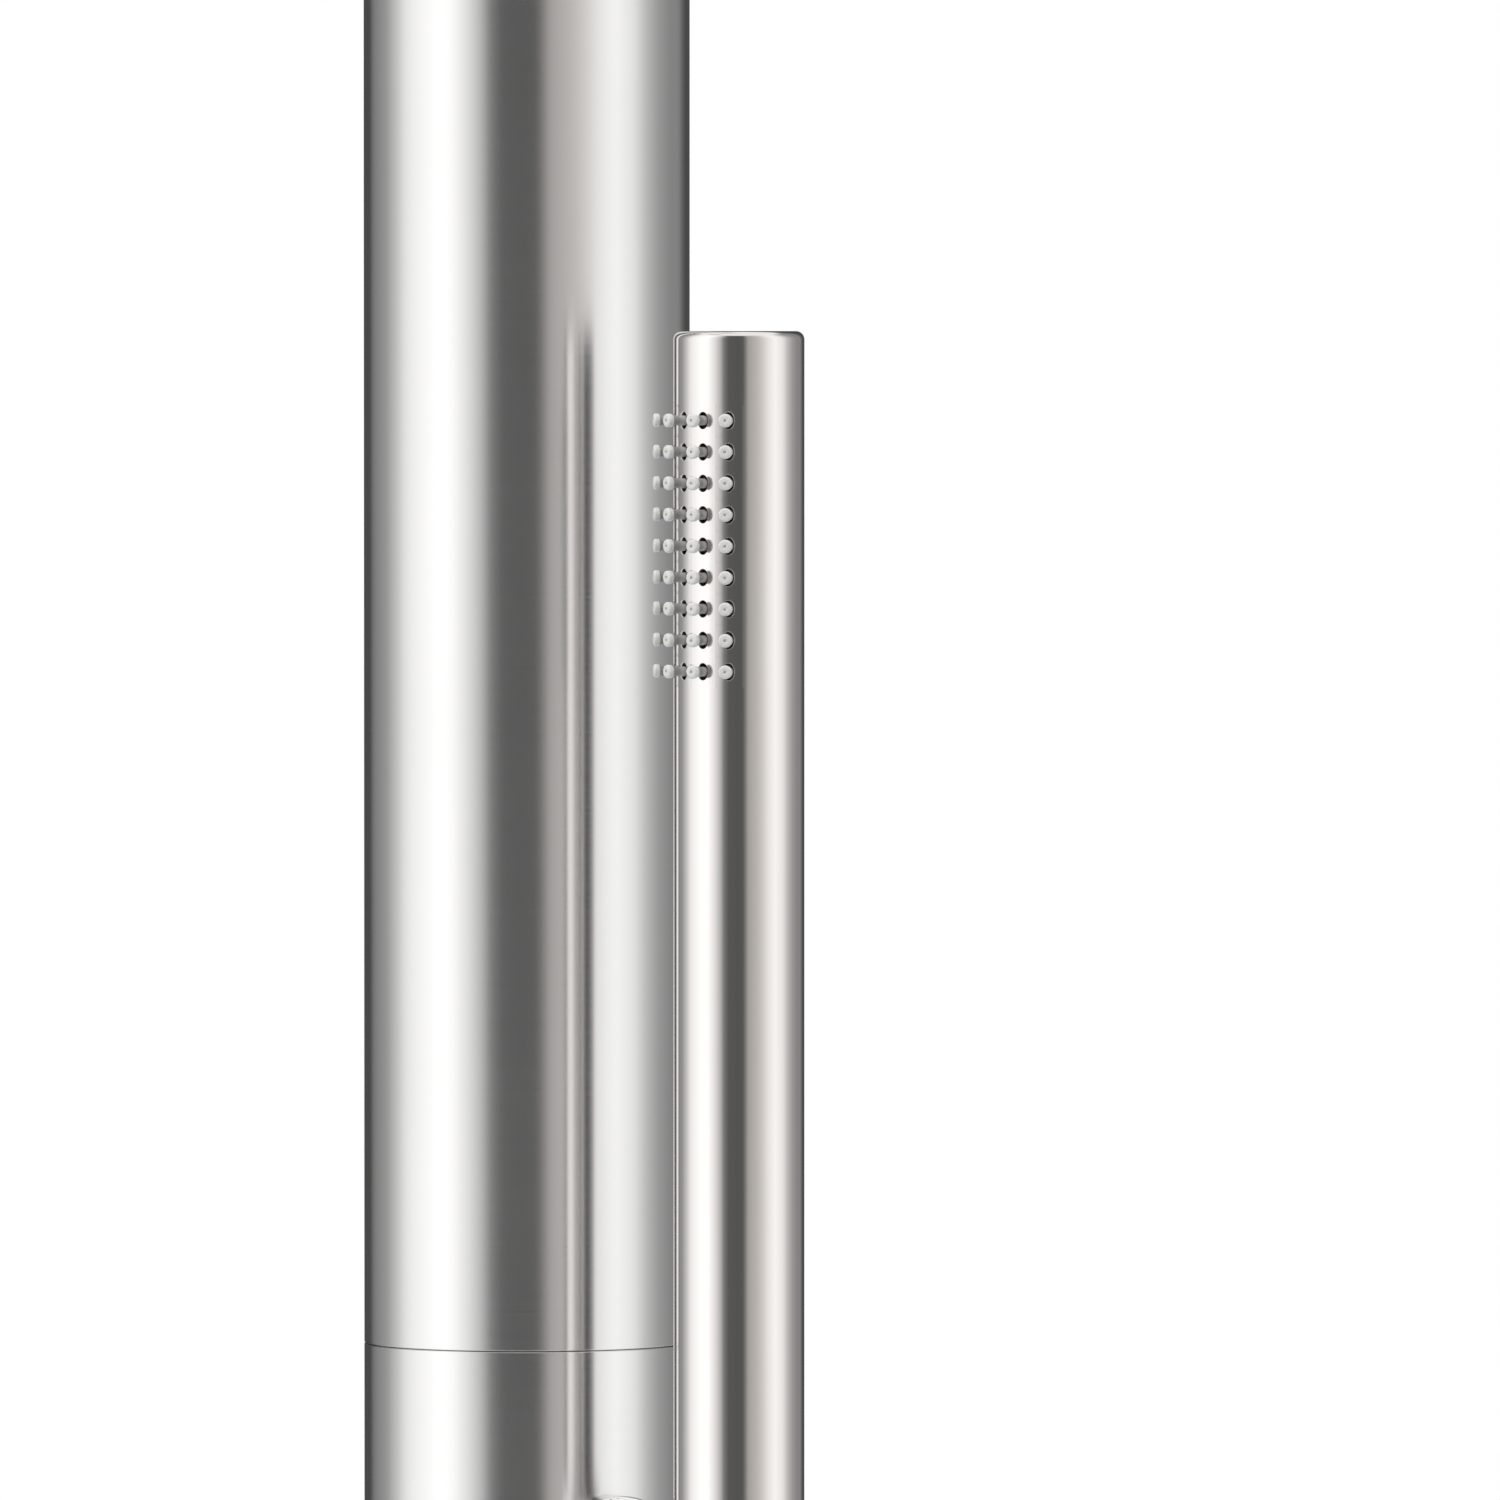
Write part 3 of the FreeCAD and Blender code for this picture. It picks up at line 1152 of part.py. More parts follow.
def head_shell():
    top = head_axis(HEAD_TOP_Z)
    bottom = head_axis(HEAD_BOTTOM_Z)
    ball = head_axis(BALL_Z)
    ledge_z = HEAD_BOTTOM_Z + FACE_T + MAT_T
    disc = softened_rod(HEAD_R, bottom, top, HEAD_ROUND)
    chamber = rod(FACE_R - HEAD_LEDGE, bottom, head_axis(HEAD_TOP_Z - HEAD_TOP_T))
    face_room = rod(HEAD_R - HEAD_WALL, bottom, head_axis(ledge_z))
    hub = merged(
        rod(HUB_R, top, head_axis(BALL_Z - BALL_NUT_SKIRT)),
        rod(BALL_NUT_R - BALL_NUT_WALL - SNUG, top, ball),
    )
    cuts = [Part.makeSphere(HEAD_SOCKET_R, ball), rod(WATER_BORE_R, head_axis(HEAD_TOP_Z - HEAD_TOP_T), ball)]
    for place in face_screw_places(ledge_z):
        cuts.append(rod(FACE_SCREW_R + SNUG, place, place + point(z=FACE_SCREW_LENGTH - FACE_T - MAT_T)))
    return merged(disc.cut([chamber, face_room]), hub).cut(cuts)


def face_screw_places(z):
    angles = [360.0 * turn / FACE_SCREW_COUNT for turn in range(FACE_SCREW_COUNT)]
    return [turned_about_z(head_axis(z), FACE_SCREW_CIRCLE_R, angle) for angle in angles]


def rain_nozzle_places(z):
    """Rings of nozzles, and one in the middle."""
    places = [head_axis(z)]
    for ring in range(1, RAIN_RINGS + 1):
        count = RAIN_RING_STEP * ring
        places += [turned_about_z(head_axis(z), ring * RAIN_PITCH, 360.0 * n / count) for n in range(count)]
    return places


def head_face():
    bottom = head_axis(HEAD_BOTTOM_Z)
    plate = rod(FACE_R, bottom, bottom + point(z=FACE_T))
    cuts = []
    for place in rain_nozzle_places(HEAD_BOTTOM_Z):
        cuts.append(rod(RAIN_NOZZLE_R + SLIP, place, place + point(z=FACE_T)))
    for place in face_screw_places(HEAD_BOTTOM_Z):
        cuts.append(rod(FACE_SCREW_R + SLIP, place, place + point(z=FACE_T)))
        cuts.append(rod(FACE_SCREW_HEAD_R + SLIP, place, place + point(z=FACE_SCREW_HEAD_T)))
    return plate.cut(cuts)


def nozzle_mat():
    """Silicone mat above the face, with a nozzle through each of its holes."""
    foot_z = HEAD_BOTTOM_Z + FACE_T
    mat = rod(FACE_R, head_axis(foot_z), head_axis(foot_z + MAT_T))
    length = point(z=FACE_T + MAT_T + RAIN_NOZZLE_OUT)
    nozzles = []
    cuts = []
    for tip in rain_nozzle_places(HEAD_BOTTOM_Z - RAIN_NOZZLE_OUT):
        nozzles.append(rod(RAIN_NOZZLE_R, tip, tip + length))
        cuts.append(rod(RAIN_JET_R, tip, tip + length))
    for place in face_screw_places(foot_z):
        cuts.append(rod(FACE_SCREW_R + SLIP, place, place + point(z=MAT_T)))
    return merged(mat, *nozzles).cut(cuts)


def face_screws():
    screws = []
    for foot in face_screw_places(HEAD_BOTTOM_Z):
        head = rod(FACE_SCREW_HEAD_R, foot, foot + point(z=FACE_SCREW_HEAD_T))
        shank = rod(FACE_SCREW_R, foot, foot + point(z=FACE_SCREW_LENGTH - SNUG))
        key = hexagon(FACE_KEY_ACROSS, foot, foot + point(z=FACE_KEY_DEPTH))
        screws.append(merged(head, shank).cut(key))
    return screws


PARTS = {
    "floor_seal": floor_seal,
    "base_flange": base_flange,
    "base_cover": base_cover,
    "inlet_block": inlet_block,
    "inlet_block_screws": inlet_block_screws,
    "check_valves": check_valves,
    "post_grub_screws": post_grub_screws,
    "lower_post": lower_post,
    "upper_post": upper_post,
    "joint_sleeve": joint_sleeve,
    "sleeve_screws": sleeve_screws,
    "top_cap": top_cap,
    "cap_o_ring": cap_o_ring,
    "hot_riser": lambda: riser(-RISER_X),
    "cold_riser": lambda: riser(RISER_X),
    "riser_nuts": riser_nuts,
    "pipe_clips": pipe_clips,
    "mixed_pipe": mixed_pipe,
    "riser_pipe": riser_pipe,
    "mixer_body": mixer_body,
    "cartridge_housing": cartridge_housing,
    "cartridge_seal": cartridge_seal,
    "cartridge_case": cartridge_case,
    "fixed_disc": fixed_disc,
    "cartridge_nut": cartridge_nut,
    "dome_shroud": dome_shroud,
    "moving_disc": moving_disc,
    "lever_carrier": lever_carrier,
    "lever_pin": lever_pin,
    "lever_stem": lever_stem,
    "mixer_handle": mixer_handle,
    "lever_rod": lever_rod,
    "handle_grub_screw": handle_grub_screw,
    "diverter_body": diverter_body,
    "diverter_headwork": diverter_headwork,
    "diverter_collar": diverter_collar,
    "diverter_spindle": diverter_spindle,
    "diverter_knob": diverter_knob,
    "knob_grub_screw": knob_grub_screw,
    "outlet_elbow": outlet_elbow,
    "holder_arm": holder_arm,
    "arm_nut": arm_nut,
    "pivot_screw": pivot_screw,
    "holder_cup": holder_cup,
    "holder_liner": holder_liner,
    "handset_shell": handset_shell,
    "nozzle_strip": nozzle_strip,
    "spray_core": spray_core,
    "handset_foot": handset_foot,
    "arm_elbow": arm_elbow,
    "head_arm": head_arm,
    "arm_rosette": arm_rosette,
    "ball_stud": ball_stud,
    "ball_seat": ball_seat,
    "ball_nut": ball_nut,
    "head_shell": head_shell,
    "head_face": head_face,
    "nozzle_mat": nozzle_mat,
    "face_screws": face_screws,
}

os.makedirs("parts", exist_ok=True)
for name, make in PARTS.items():
    made = make()
    solids = made if isinstance(made, list) else [made]
    shape = solids[0] if len(solids) == 1 else Part.makeCompound(solids)
    shape.exportStep("parts/" + name + ".step")
    print(name, len(shape.Solids), round(shape.Volume, 1), shape.isValid())
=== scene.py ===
# %% [markdown]
# # An outdoor shower post, dressed for a close studio picture
#
# The construction is already there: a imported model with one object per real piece, in metres,
# with its origin on the floor at the post's axis. This file gives each piece its finish, builds
# the visible metal skins and the silicone nozzles again as fine surfaces, and sets up the studio.
# Nothing is moved, because every piece is already in its place.

import json
import math

import bpy
import numpy as np
from mathutils import Matrix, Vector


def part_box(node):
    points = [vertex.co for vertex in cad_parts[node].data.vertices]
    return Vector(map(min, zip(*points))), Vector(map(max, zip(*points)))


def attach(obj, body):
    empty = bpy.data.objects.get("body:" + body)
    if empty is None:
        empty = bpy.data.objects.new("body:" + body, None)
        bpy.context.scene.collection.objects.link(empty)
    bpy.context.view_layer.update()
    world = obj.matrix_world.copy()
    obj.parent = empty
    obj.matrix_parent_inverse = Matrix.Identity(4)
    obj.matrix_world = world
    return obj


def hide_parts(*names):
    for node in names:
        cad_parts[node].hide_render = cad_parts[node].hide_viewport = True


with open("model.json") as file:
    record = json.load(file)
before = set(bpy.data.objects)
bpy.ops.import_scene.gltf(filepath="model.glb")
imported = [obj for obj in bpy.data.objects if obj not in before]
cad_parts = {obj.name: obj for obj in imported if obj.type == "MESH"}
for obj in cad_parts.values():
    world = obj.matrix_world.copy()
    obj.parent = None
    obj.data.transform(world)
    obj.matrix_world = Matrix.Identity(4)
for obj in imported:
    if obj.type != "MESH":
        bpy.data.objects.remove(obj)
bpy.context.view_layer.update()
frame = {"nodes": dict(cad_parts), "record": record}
MM = 0.001
TAU = 2 * math.pi
POLE = 0.001  # a radius in mm that closes a turned shape on its axis
slots = {entry["node"]: entry["material_slot"] for entry in frame["record"]["subparts"]}
print("pieces in the frame:", len(frame["nodes"]))

# %% [markdown]
# ## Grids
#
# Every new piece here is one or more grids of points. A grid is an array of rows by columns, worked
# out from a formula as a whole, and neighbouring points are joined by four-sided faces. Rows that
# close on themselves, like rings round a tube, join their last column to the first.


# %% From grids of points to a mesh
def grid_faces(rows, columns, wrap=False):
    """Corner numbers of a grid's faces, row by row. With wrap, the last column joins the first."""
    across = columns if wrap else columns - 1
    row, column = np.meshgrid(np.arange(rows - 1), np.arange(across), indexing="ij")
    beside = (column + 1) % columns
    corners = [row * columns + column, row * columns + beside]
    corners += [(row + 1) * columns + beside, (row + 1) * columns + column]
    return np.stack(corners, -1).reshape(-1, 4)


def make_piece(name, patches, body, replaced=()):
    """One smooth object from patches, each a pair of points (n, 3) and four-cornered faces."""
    starts = np.cumsum([0] + [len(points) for points, faces in patches[:-1]])
    points = np.concatenate([points for points, faces in patches])
    faces = np.concatenate([faces + start for start, (_, faces) in zip(starts, patches)])
    mesh = bpy.data.meshes.new(name)
    mesh.vertices.add(len(points))
    mesh.vertices.foreach_set("co", points.astype(np.float32).ravel())
    mesh.loops.add(faces.size)
    mesh.loops.foreach_set("vertex_index", faces.astype(np.int32).ravel())
    mesh.polygons.add(len(faces))
    mesh.polygons.foreach_set("loop_start", np.arange(0, faces.size, 4, dtype=np.int32))
    mesh.polygons.foreach_set("use_smooth", np.ones(len(faces), bool))
    mesh.update(calc_edges=True)
    mesh.validate()
    piece = bpy.data.objects.new(name, mesh)
    bpy.context.scene.collection.objects.link(piece)
    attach(piece, body)
    if replaced:
        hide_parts(*replaced)
    print(name, "faces:", len(faces))
    return piece


# %% [markdown]
# ## Turned shapes
#
# Most of this object is turned on a lathe or rolled as tube, so its outline is a profile of
# (radius, height) points carried round an axis. Real edges are never knife sharp: each corner of a
# profile is replaced by a short arc, which is what catches the light as a thin bright line.


# %% Profiles with rounded corners, carried round an axis
def rounded(corners, steps=5):
    """A profile from (radius, height, rounding) corners. Each corner becomes an arc of that radius,
    tangent to both its sides: its centre lies on the corner's bisector at rounding / sin(half angle)."""
    corners = [np.array(corner, float) for corner in corners]
    line = [corners[0][:2]]
    for before, corner, after in zip(corners, corners[1:], corners[2:]):
        place, radius = corner[:2], corner[2]
        back = (before[:2] - place) / np.linalg.norm(before[:2] - place)
        ahead = (after[:2] - place) / np.linalg.norm(after[:2] - place)
        half = math.acos(np.clip(back @ ahead, -1, 1)) / 2
        if radius <= 0 or math.sin(half) > 0.999:
            line.append(place)
            continue
        bisector = (back + ahead) / np.linalg.norm(back + ahead)
        centre = place + bisector * radius / math.sin(half)
        first = place + back * radius / math.tan(half) - centre
        last = place + ahead * radius / math.tan(half) - centre
        turn = math.pi - 2 * half
        share = np.linspace(0, 1, steps)[:, None]
        arc = (np.sin((1 - share) * turn) * first + np.sin(share * turn) * last) / math.sin(turn)
        line.extend(centre + arc)
    line.append(corners[-1][:2])
    return with_support(np.array(line))


def with_support(line, hold=0.5):
    """Adds a point a little way in from both ends of every long stretch of a profile. The smooth
    normals of a rounded corner then turn back to square within that distance of it."""
    points = [line[0]]
    for start, end in zip(line, line[1:]):
        length = np.linalg.norm(end - start)
        if length > 4 * hold:
            step = (end - start) / length * hold
            points += [start + step, end - step]
        points.append(end)
    return np.array(points)


def frame_of(axis):
    """Three unit vectors: across, beside and along an axis."""
    along = np.array(axis, float) / np.linalg.norm(axis)
    across = np.cross([0.0, 0.0, 1.0], along) if abs(along[2]) < 0.9 else np.array([1.0, 0.0, 0.0])
    across = across / np.linalg.norm(across)
    return across, np.cross(along, across), along


def even_turn(segments):
    """The angles of an even division of a full turn."""
    return np.arange(segments) * TAU / segments


def turned(profile, centre, axis=(0, 0, 1), angle=even_turn(192)):
    """Surface of revolution: centre + r cos(a) across + r sin(a) beside + h along. Sizes in mm.
    A profile that runs upwards on the outside faces outwards."""
    across, beside, along = frame_of(axis)
    round_ = np.cos(angle)[:, None] * across + np.sin(angle)[:, None] * beside
    radius, height = profile[:, 0], profile[:, 1]
    points = radius[:, None, None] * round_ + height[:, None, None] * along
    points = np.array(centre, float) + points * MM
    return points.reshape(-1, 3), grid_faces(len(profile), len(angle), wrap=True)


# %% [markdown]
# ## The post's tubes
#
# The post is two lengths of stainless tube that meet over an inner sleeve. The joint shows as a
# hairline: a gap of 0.15 mm between two broken edges. Each tube is one profile that goes up the
# outside, over the end and down the inside, so the gap is a real one and its dark line is real shadow.

# %% Lower and upper tube
POST_R = 31.75
POST_BORE_R = 29.75
JOINT_BREAK = 0.15
END_BREAK = 0.05  # at the ends that other pieces hide
END_ROUND, FACE_ROUND = 0.05, 0.02
FACE_DISH = 0.001  # the tubes' end faces lean in by this much


def axis_at(x, y, z):
    """A point in metres from its place in mm."""
    return np.array([x, y, z]) * MM


def post_tube(name, node, joint_at_top):
    low, high = (corner.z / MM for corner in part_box(node))
    bottom_break, top_break = (END_BREAK, JOINT_BREAK) if joint_at_top else (JOINT_BREAK, END_BREAK)
    profile = rounded([
        (POST_BORE_R, low + FACE_DISH, 0),
        (POST_R - bottom_break, low, FACE_ROUND),
        (POST_R, low + bottom_break, END_ROUND),
        (POST_R, high - top_break, END_ROUND),
        (POST_R - top_break, high, FACE_ROUND),
        (POST_BORE_R, high - FACE_DISH, 0),
        (POST_BORE_R, low + FACE_DISH, 0),
    ], steps=4)
    return make_piece(name, [turned(profile, (0, 0, 0))], "post", [node])


lower_tube = post_tube("lower_tube", "lower_post", True)
upper_tube = post_tube("upper_tube", "upper_post", False)

# %% [markdown]
# ## The hand shower's shell
#
# The shell is a 25 mm tube with a flat, slightly rounded top and 36 upright oval holes for the nozzles.
# The holes are real. Each sits in its own cell of the unrolled tube: a patch of rings that starts as
# the hole's oval and ends as the cell's four-sided border. The cells tile the nozzle field
# exactly, and the plain part of the tube uses the same steps, so all the seams meet point to point.

# %% Hand shower sizes, read from the frame
shell_low, shell_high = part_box("handset_shell")
SHOWER_X = (shell_low.x + shell_high.x) / 2 / MM
SHOWER_R = (shell_high.x - shell_low.x) / 2 / MM
SHELL_BOTTOM = shell_low.z / MM
SHELL_TOP = shell_high.z / MM
SHELL_WALL = 1.5
INNER_LIP = 8.0  # how far the surface goes up inside the shell's open foot
TOP_ROUNDING = 1.6
ROWS, COLUMNS = 9, 4
ROW_PITCH = 5.97
COLUMN_STEP = math.radians(24.0)
FIRST_ROW = SHELL_TOP - 17.0
NOZZLE_SIDE = math.radians(-90 + 13.5)  # it stands a little turned in its holder
FIRST_COLUMN = NOZZLE_SIDE - (COLUMNS - 1) / 2 * COLUMN_STEP
HOLE_HALF_WIDTH = 1.1
HOLE_HALF_HEIGHT = 1.6
HOLE_EDGE = 0.15
CELL_SEGMENTS = 10
RING_SHARES = (0.0, 0.04, 0.2, 0.45, 0.72, 1.0)  # where a cell's rings lie between rim and border


def on_shower(angle, z, radius):
    """A point of the hand shower: radius and angle round its own axis, at a height. Sizes in mm."""
    x = SHOWER_X + radius * np.cos(angle)
    y = radius * np.sin(angle)
    return np.stack(np.broadcast_arrays(x, y, z), -1) * MM


def nozzle_places():
    """Angles and heights of all the nozzles, as two arrays."""
    rows, columns = np.meshgrid(np.arange(ROWS), np.arange(COLUMNS), indexing="ij")
    angles = FIRST_COLUMN + columns * COLUMN_STEP
    return angles.ravel(), (FIRST_ROW - rows * ROW_PITCH).ravel()


def cell_border():
    """The border of a cell with half sides 1: side by side from the lower right corner, anticlockwise."""
    side = np.arange(-CELL_SEGMENTS / 2, CELL_SEGMENTS / 2) / (CELL_SEGMENTS / 2)
    full = np.ones_like(side)
    u = np.concatenate([full, -side, -full, side])
    v = np.concatenate([side, full, -side, -full])
    return u, v


def holed_cells():
    """The nozzle field: each ring is (1 - t) times the hole's rim plus t times the cell's border.
    The rim is an upright oval, (a cos, b sin). Inside it, more rings follow a quarter circle
    inwards and then the hole's straight wall."""
    u, v = cell_border()
    half_width = COLUMN_STEP / 2 * SHOWER_R
    half_height = ROW_PITCH / 2
    lean = np.arctan2(v * half_height, u * half_width)
    cos, sin = np.cos(lean), np.sin(lean)
    share = np.array(RING_SHARES)[:, None]
    rim_u = (HOLE_HALF_WIDTH + HOLE_EDGE) * cos
    rim_v = (HOLE_HALF_HEIGHT + HOLE_EDGE) * sin
    ring_u = (1 - share) * rim_u + share * u * half_width
    ring_v = (1 - share) * rim_v + share * v * half_height
    turn = np.linspace(math.pi / 2, 0, 6)[:-1, None]
    inward = np.concatenate([[[HOLE_EDGE], [HOLE_EDGE]], HOLE_EDGE * np.sin(turn)])
    depth = np.concatenate([[[SHELL_WALL], [HOLE_EDGE + 0.1]], HOLE_EDGE * (1 - np.cos(turn))])
    flat_u = np.concatenate([rim_u - inward * cos, ring_u])
    flat_v = np.concatenate([rim_v - inward * sin, ring_v])
    inset = np.concatenate([np.broadcast_to(depth, (len(depth), len(u))), np.zeros_like(ring_u)])
    angles, heights = nozzle_places()
    angle = angles[:, None, None] + flat_u / SHOWER_R
    points = on_shower(angle, heights[:, None, None] + flat_v, SHOWER_R - inset)
    rows, columns = flat_u.shape
    first = np.arange(len(angles)) * rows * columns
    faces = grid_faces(rows, columns, wrap=True) + first[:, None, None]
    return points.reshape(-1, 3), faces.reshape(-1, 4)


def shell_band(low, high, rows, start, stop, steps):
    """A plain stretch of the shell between two heights and two angles."""
    heights, angles = np.linspace(low, high, rows), np.linspace(start, stop, steps + 1)
    z, angle = np.meshgrid(heights, angles, indexing="ij")
    return on_shower(angle, z, SHOWER_R).reshape(-1, 3), grid_faces(rows, steps + 1)


def shower_shell():
    around = round(TAU / COLUMN_STEP * CELL_SEGMENTS)
    field_top = FIRST_ROW + ROW_PITCH / 2
    field_bottom = field_top - ROWS * ROW_PITCH
    field_start = FIRST_COLUMN - COLUMN_STEP / 2
    field_stop = field_start + COLUMNS * COLUMN_STEP
    centre = axis_at(SHOWER_X, 0, 0)
    ring = field_start + even_turn(around)
    crown = rounded([
        (SHOWER_R, field_top, 0),
        (SHOWER_R, SHELL_TOP, TOP_ROUNDING),
        (POLE, SHELL_TOP, 0),
    ], steps=9)
    foot = rounded([
        (SHOWER_R - SHELL_WALL, SHELL_BOTTOM + INNER_LIP, 0),
        (SHOWER_R - SHELL_WALL, SHELL_BOTTOM, 0.1),
        (SHOWER_R, SHELL_BOTTOM, 0.2),
        (SHOWER_R, field_bottom, 0),
    ])
    field_rows = ROWS * CELL_SEGMENTS + 1
    rest = around - COLUMNS * CELL_SEGMENTS
    patches = [
        turned(crown, centre, angle=ring),
        turned(foot, centre, angle=ring),
        shell_band(field_bottom, field_top, field_rows, field_stop, field_start + TAU, rest),
        holed_cells(),
    ]
    return make_piece("shower_shell", patches, "handset", ["handset_shell"])


shell = shower_shell()

# %% [markdown]
# ## The silicone nozzles
#
# Behind the holes lies one silicone strip. Each nozzle stands out of it through its hole: a soft
# neck with a rounded bead at its tip, which a thumb can rub clean of lime. Each is a turned profile,
# and one array holds all 36 of them.

# %% Nozzles of the hand shower
STRIP_R = 10.9
STRIP_THICKNESS = 0.9
NOZZLE_OUT = 4.0
NECK_R = 0.95
BEAD_R = 1.3
BEAD_LENGTH = 1.1
JET_R = 0.3
JET_DEPTH = 0.35


def nozzle_profile():
    """A thin neck that swells into a rounded bead at the tip, with the jet's small hole in it."""
    root = STRIP_R - SHOWER_R
    return rounded([
        (NECK_R + 0.3, root, 0),
        (NECK_R, root + 0.4, 0.2),
        (NECK_R, NOZZLE_OUT - BEAD_LENGTH - 0.2, 0.15),
        (BEAD_R, NOZZLE_OUT - BEAD_LENGTH, 0.3),
        (BEAD_R, NOZZLE_OUT, 0.4),
        (JET_R, NOZZLE_OUT, 0.1),
        (JET_R, NOZZLE_OUT - JET_DEPTH, 0.1),
        (POLE, NOZZLE_OUT - JET_DEPTH, 0),
    ], steps=5)


def shower_nozzles():
    """All nozzles: one profile carried round each nozzle's own axis, which points straight out."""
    profile = nozzle_profile()
    turn = even_turn(24)
    angles, heights = nozzle_places()
    out = np.stack([np.cos(angles), np.sin(angles), np.zeros_like(angles)], -1)[:, None, None]
    side = np.stack([-np.sin(angles), np.cos(angles), np.zeros_like(angles)], -1)[:, None, None]
    up = np.array([0.0, 0.0, 1.0])
    seat = on_shower(angles, heights, SHOWER_R)[:, None, None]
    around = np.cos(turn)[:, None] * side + np.sin(turn)[:, None] * up
    points = seat + (profile[:, :1, None] * around + profile[:, 1:, None] * out) * MM
    rows, columns = len(profile), len(turn)
    first = np.arange(len(angles)) * rows * columns
    faces = grid_faces(rows, columns, wrap=True) + first[:, None, None]
    return points.reshape(-1, 3), faces.reshape(-1, 4)


def strip_sheet():
    """The strip itself, the floor inside each hole's gap, which takes the nozzles' dark painted hole shade.
    """
    low, high = (corner.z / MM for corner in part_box("nozzle_strip"))
    half = COLUMNS / 2 * COLUMN_STEP
    angles = np.linspace(NOZZLE_SIDE - half, NOZZLE_SIDE + half, 49)
    z, angle = np.meshgrid(np.linspace(low, high, 3), angles, indexing="ij")
    outer = on_shower(angle, z, STRIP_R)
    inner = on_shower(angle[:, ::-1], z[:, ::-1], STRIP_R - STRIP_THICKNESS)
    loop = np.concatenate([outer, inner], 1)
    faces = grid_faces(3, loop.shape[1], wrap=True)
    return loop.reshape(-1, 3), faces


nozzle_patches = [shower_nozzles(), strip_sheet()]
nozzles = make_piece("shower_nozzles", nozzle_patches, "handset", ["nozzle_strip"])

# %% [markdown]
# ## Threads for the hose
#
# The hand shower's foot and the outlet beside the post both end in a half inch pipe thread, where the
# hose screws on. A thread is a ridge that winds round a rod and climbs by one pitch in each turn. The
# pipe thread's crests and roots are rounded, so a cosine gives its shape.

# %% Threaded surface
PITCH = 1.814
THREAD_R = 10.48
THREAD_DEPTH = 1.162
ROOT_R = THREAD_R - THREAD_DEPTH
WATER_BORE_R = 5.5
LEAD_IN = 0.6  # plain length at the free end
RELIEF = 0.8  # plain groove between the thread and its shoulder
THREAD_SEGMENTS = 96
ROWS_PER_TURN = 12


def thread(low, high, centre):
    """Between two heights h, the radius at the angle a is the root's plus w (1 + cos(TAU h / pitch - a)) / 2
    of the thread's depth. The weight w fades to 0 within a pitch of both ends, where the ridge runs out."""
    angle = even_turn(THREAD_SEGMENTS)
    height = np.linspace(low, high, round((high - low) / PITCH * ROWS_PER_TURN))[:, None]
    weight = np.clip(np.minimum(height - low, high - height) / PITCH, 0, 1)
    ridge = (1 + np.cos(TAU * height / PITCH - angle)) / 2
    radius = ROOT_R + (THREAD_R - ROOT_R) * weight * ridge
    points = np.stack(np.broadcast_arrays(radius * np.cos(angle), radius * np.sin(angle), height), -1)
    points = np.array(centre, float) + points.reshape(-1, 3) * MM
    return points, grid_faces(len(height), THREAD_SEGMENTS, wrap=True)


def threaded_nipple(foot, shoulder, bore_top, above, centre):
    """Three patches from below upwards: the bore with the end face, the thread, and what lies above it."""
    end = rounded([
        (WATER_BORE_R, bore_top, 0),
        (WATER_BORE_R, foot, 0.4),
        (ROOT_R, foot, 0.3),
        (ROOT_R, foot + LEAD_IN, 0),
    ])
    rest = rounded([(ROOT_R, shoulder - RELIEF, 0), (ROOT_R, shoulder, 0.1)] + above)
    angle = even_turn(THREAD_SEGMENTS)
    return [
        turned(end, centre, angle=angle),
        thread(foot + LEAD_IN, shoulder - RELIEF, centre),
        turned(rest, centre, angle=angle),
    ]


# %% [markdown]
# The foot is one turned piece from the thread up to the plug that is pressed into the shell. The
# outlet is a short round barrel that stands out of the post, with the threaded nipple below it.

# %% The hand shower's foot
NECK_COLLAR_R = 11.3
FOOT_R = 11.6
FOOT_LENGTH = 27.0
THREAD_LENGTH = 15.0
NECK_LENGTH = 8.0
PLUG_CLEARANCE = 0.1


def shower_foot():
    low, high = (corner.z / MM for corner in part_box("handset_foot"))
    shoulder = low + THREAD_LENGTH
    seat = shoulder + NECK_LENGTH
    plug_r = SHOWER_R - SHELL_WALL - PLUG_CLEARANCE
    above = [
        (NECK_COLLAR_R, shoulder, 0.3),
        (NECK_COLLAR_R, seat, 0.1),
        (FOOT_R, seat, 0.3),
        (SHOWER_R, seat + FOOT_LENGTH, 0.1),
        (plug_r, seat + FOOT_LENGTH, 0),
        (plug_r, high, 0.3),
        (WATER_BORE_R, high, 0),
    ]
    patches = threaded_nipple(low, shoulder, high, above, axis_at(SHOWER_X, 0, 0))
    return make_piece("shower_foot", patches, "handset", ["handset_foot"])


foot = shower_foot()

# %% The hose outlet
OUTLET_R = 13.0
OUTLET_ROUND = 2.0
SHANK_R = 9.0
SHOULDER_R = 12.5
SHOULDER_BELOW = 15.0  # from the barrel's axis down to the thread
BARREL_START = 28.5  # inside the post's wall
NIPPLE_BELOW = 2.0  # the nipple's surface starts this far below the barrel's axis


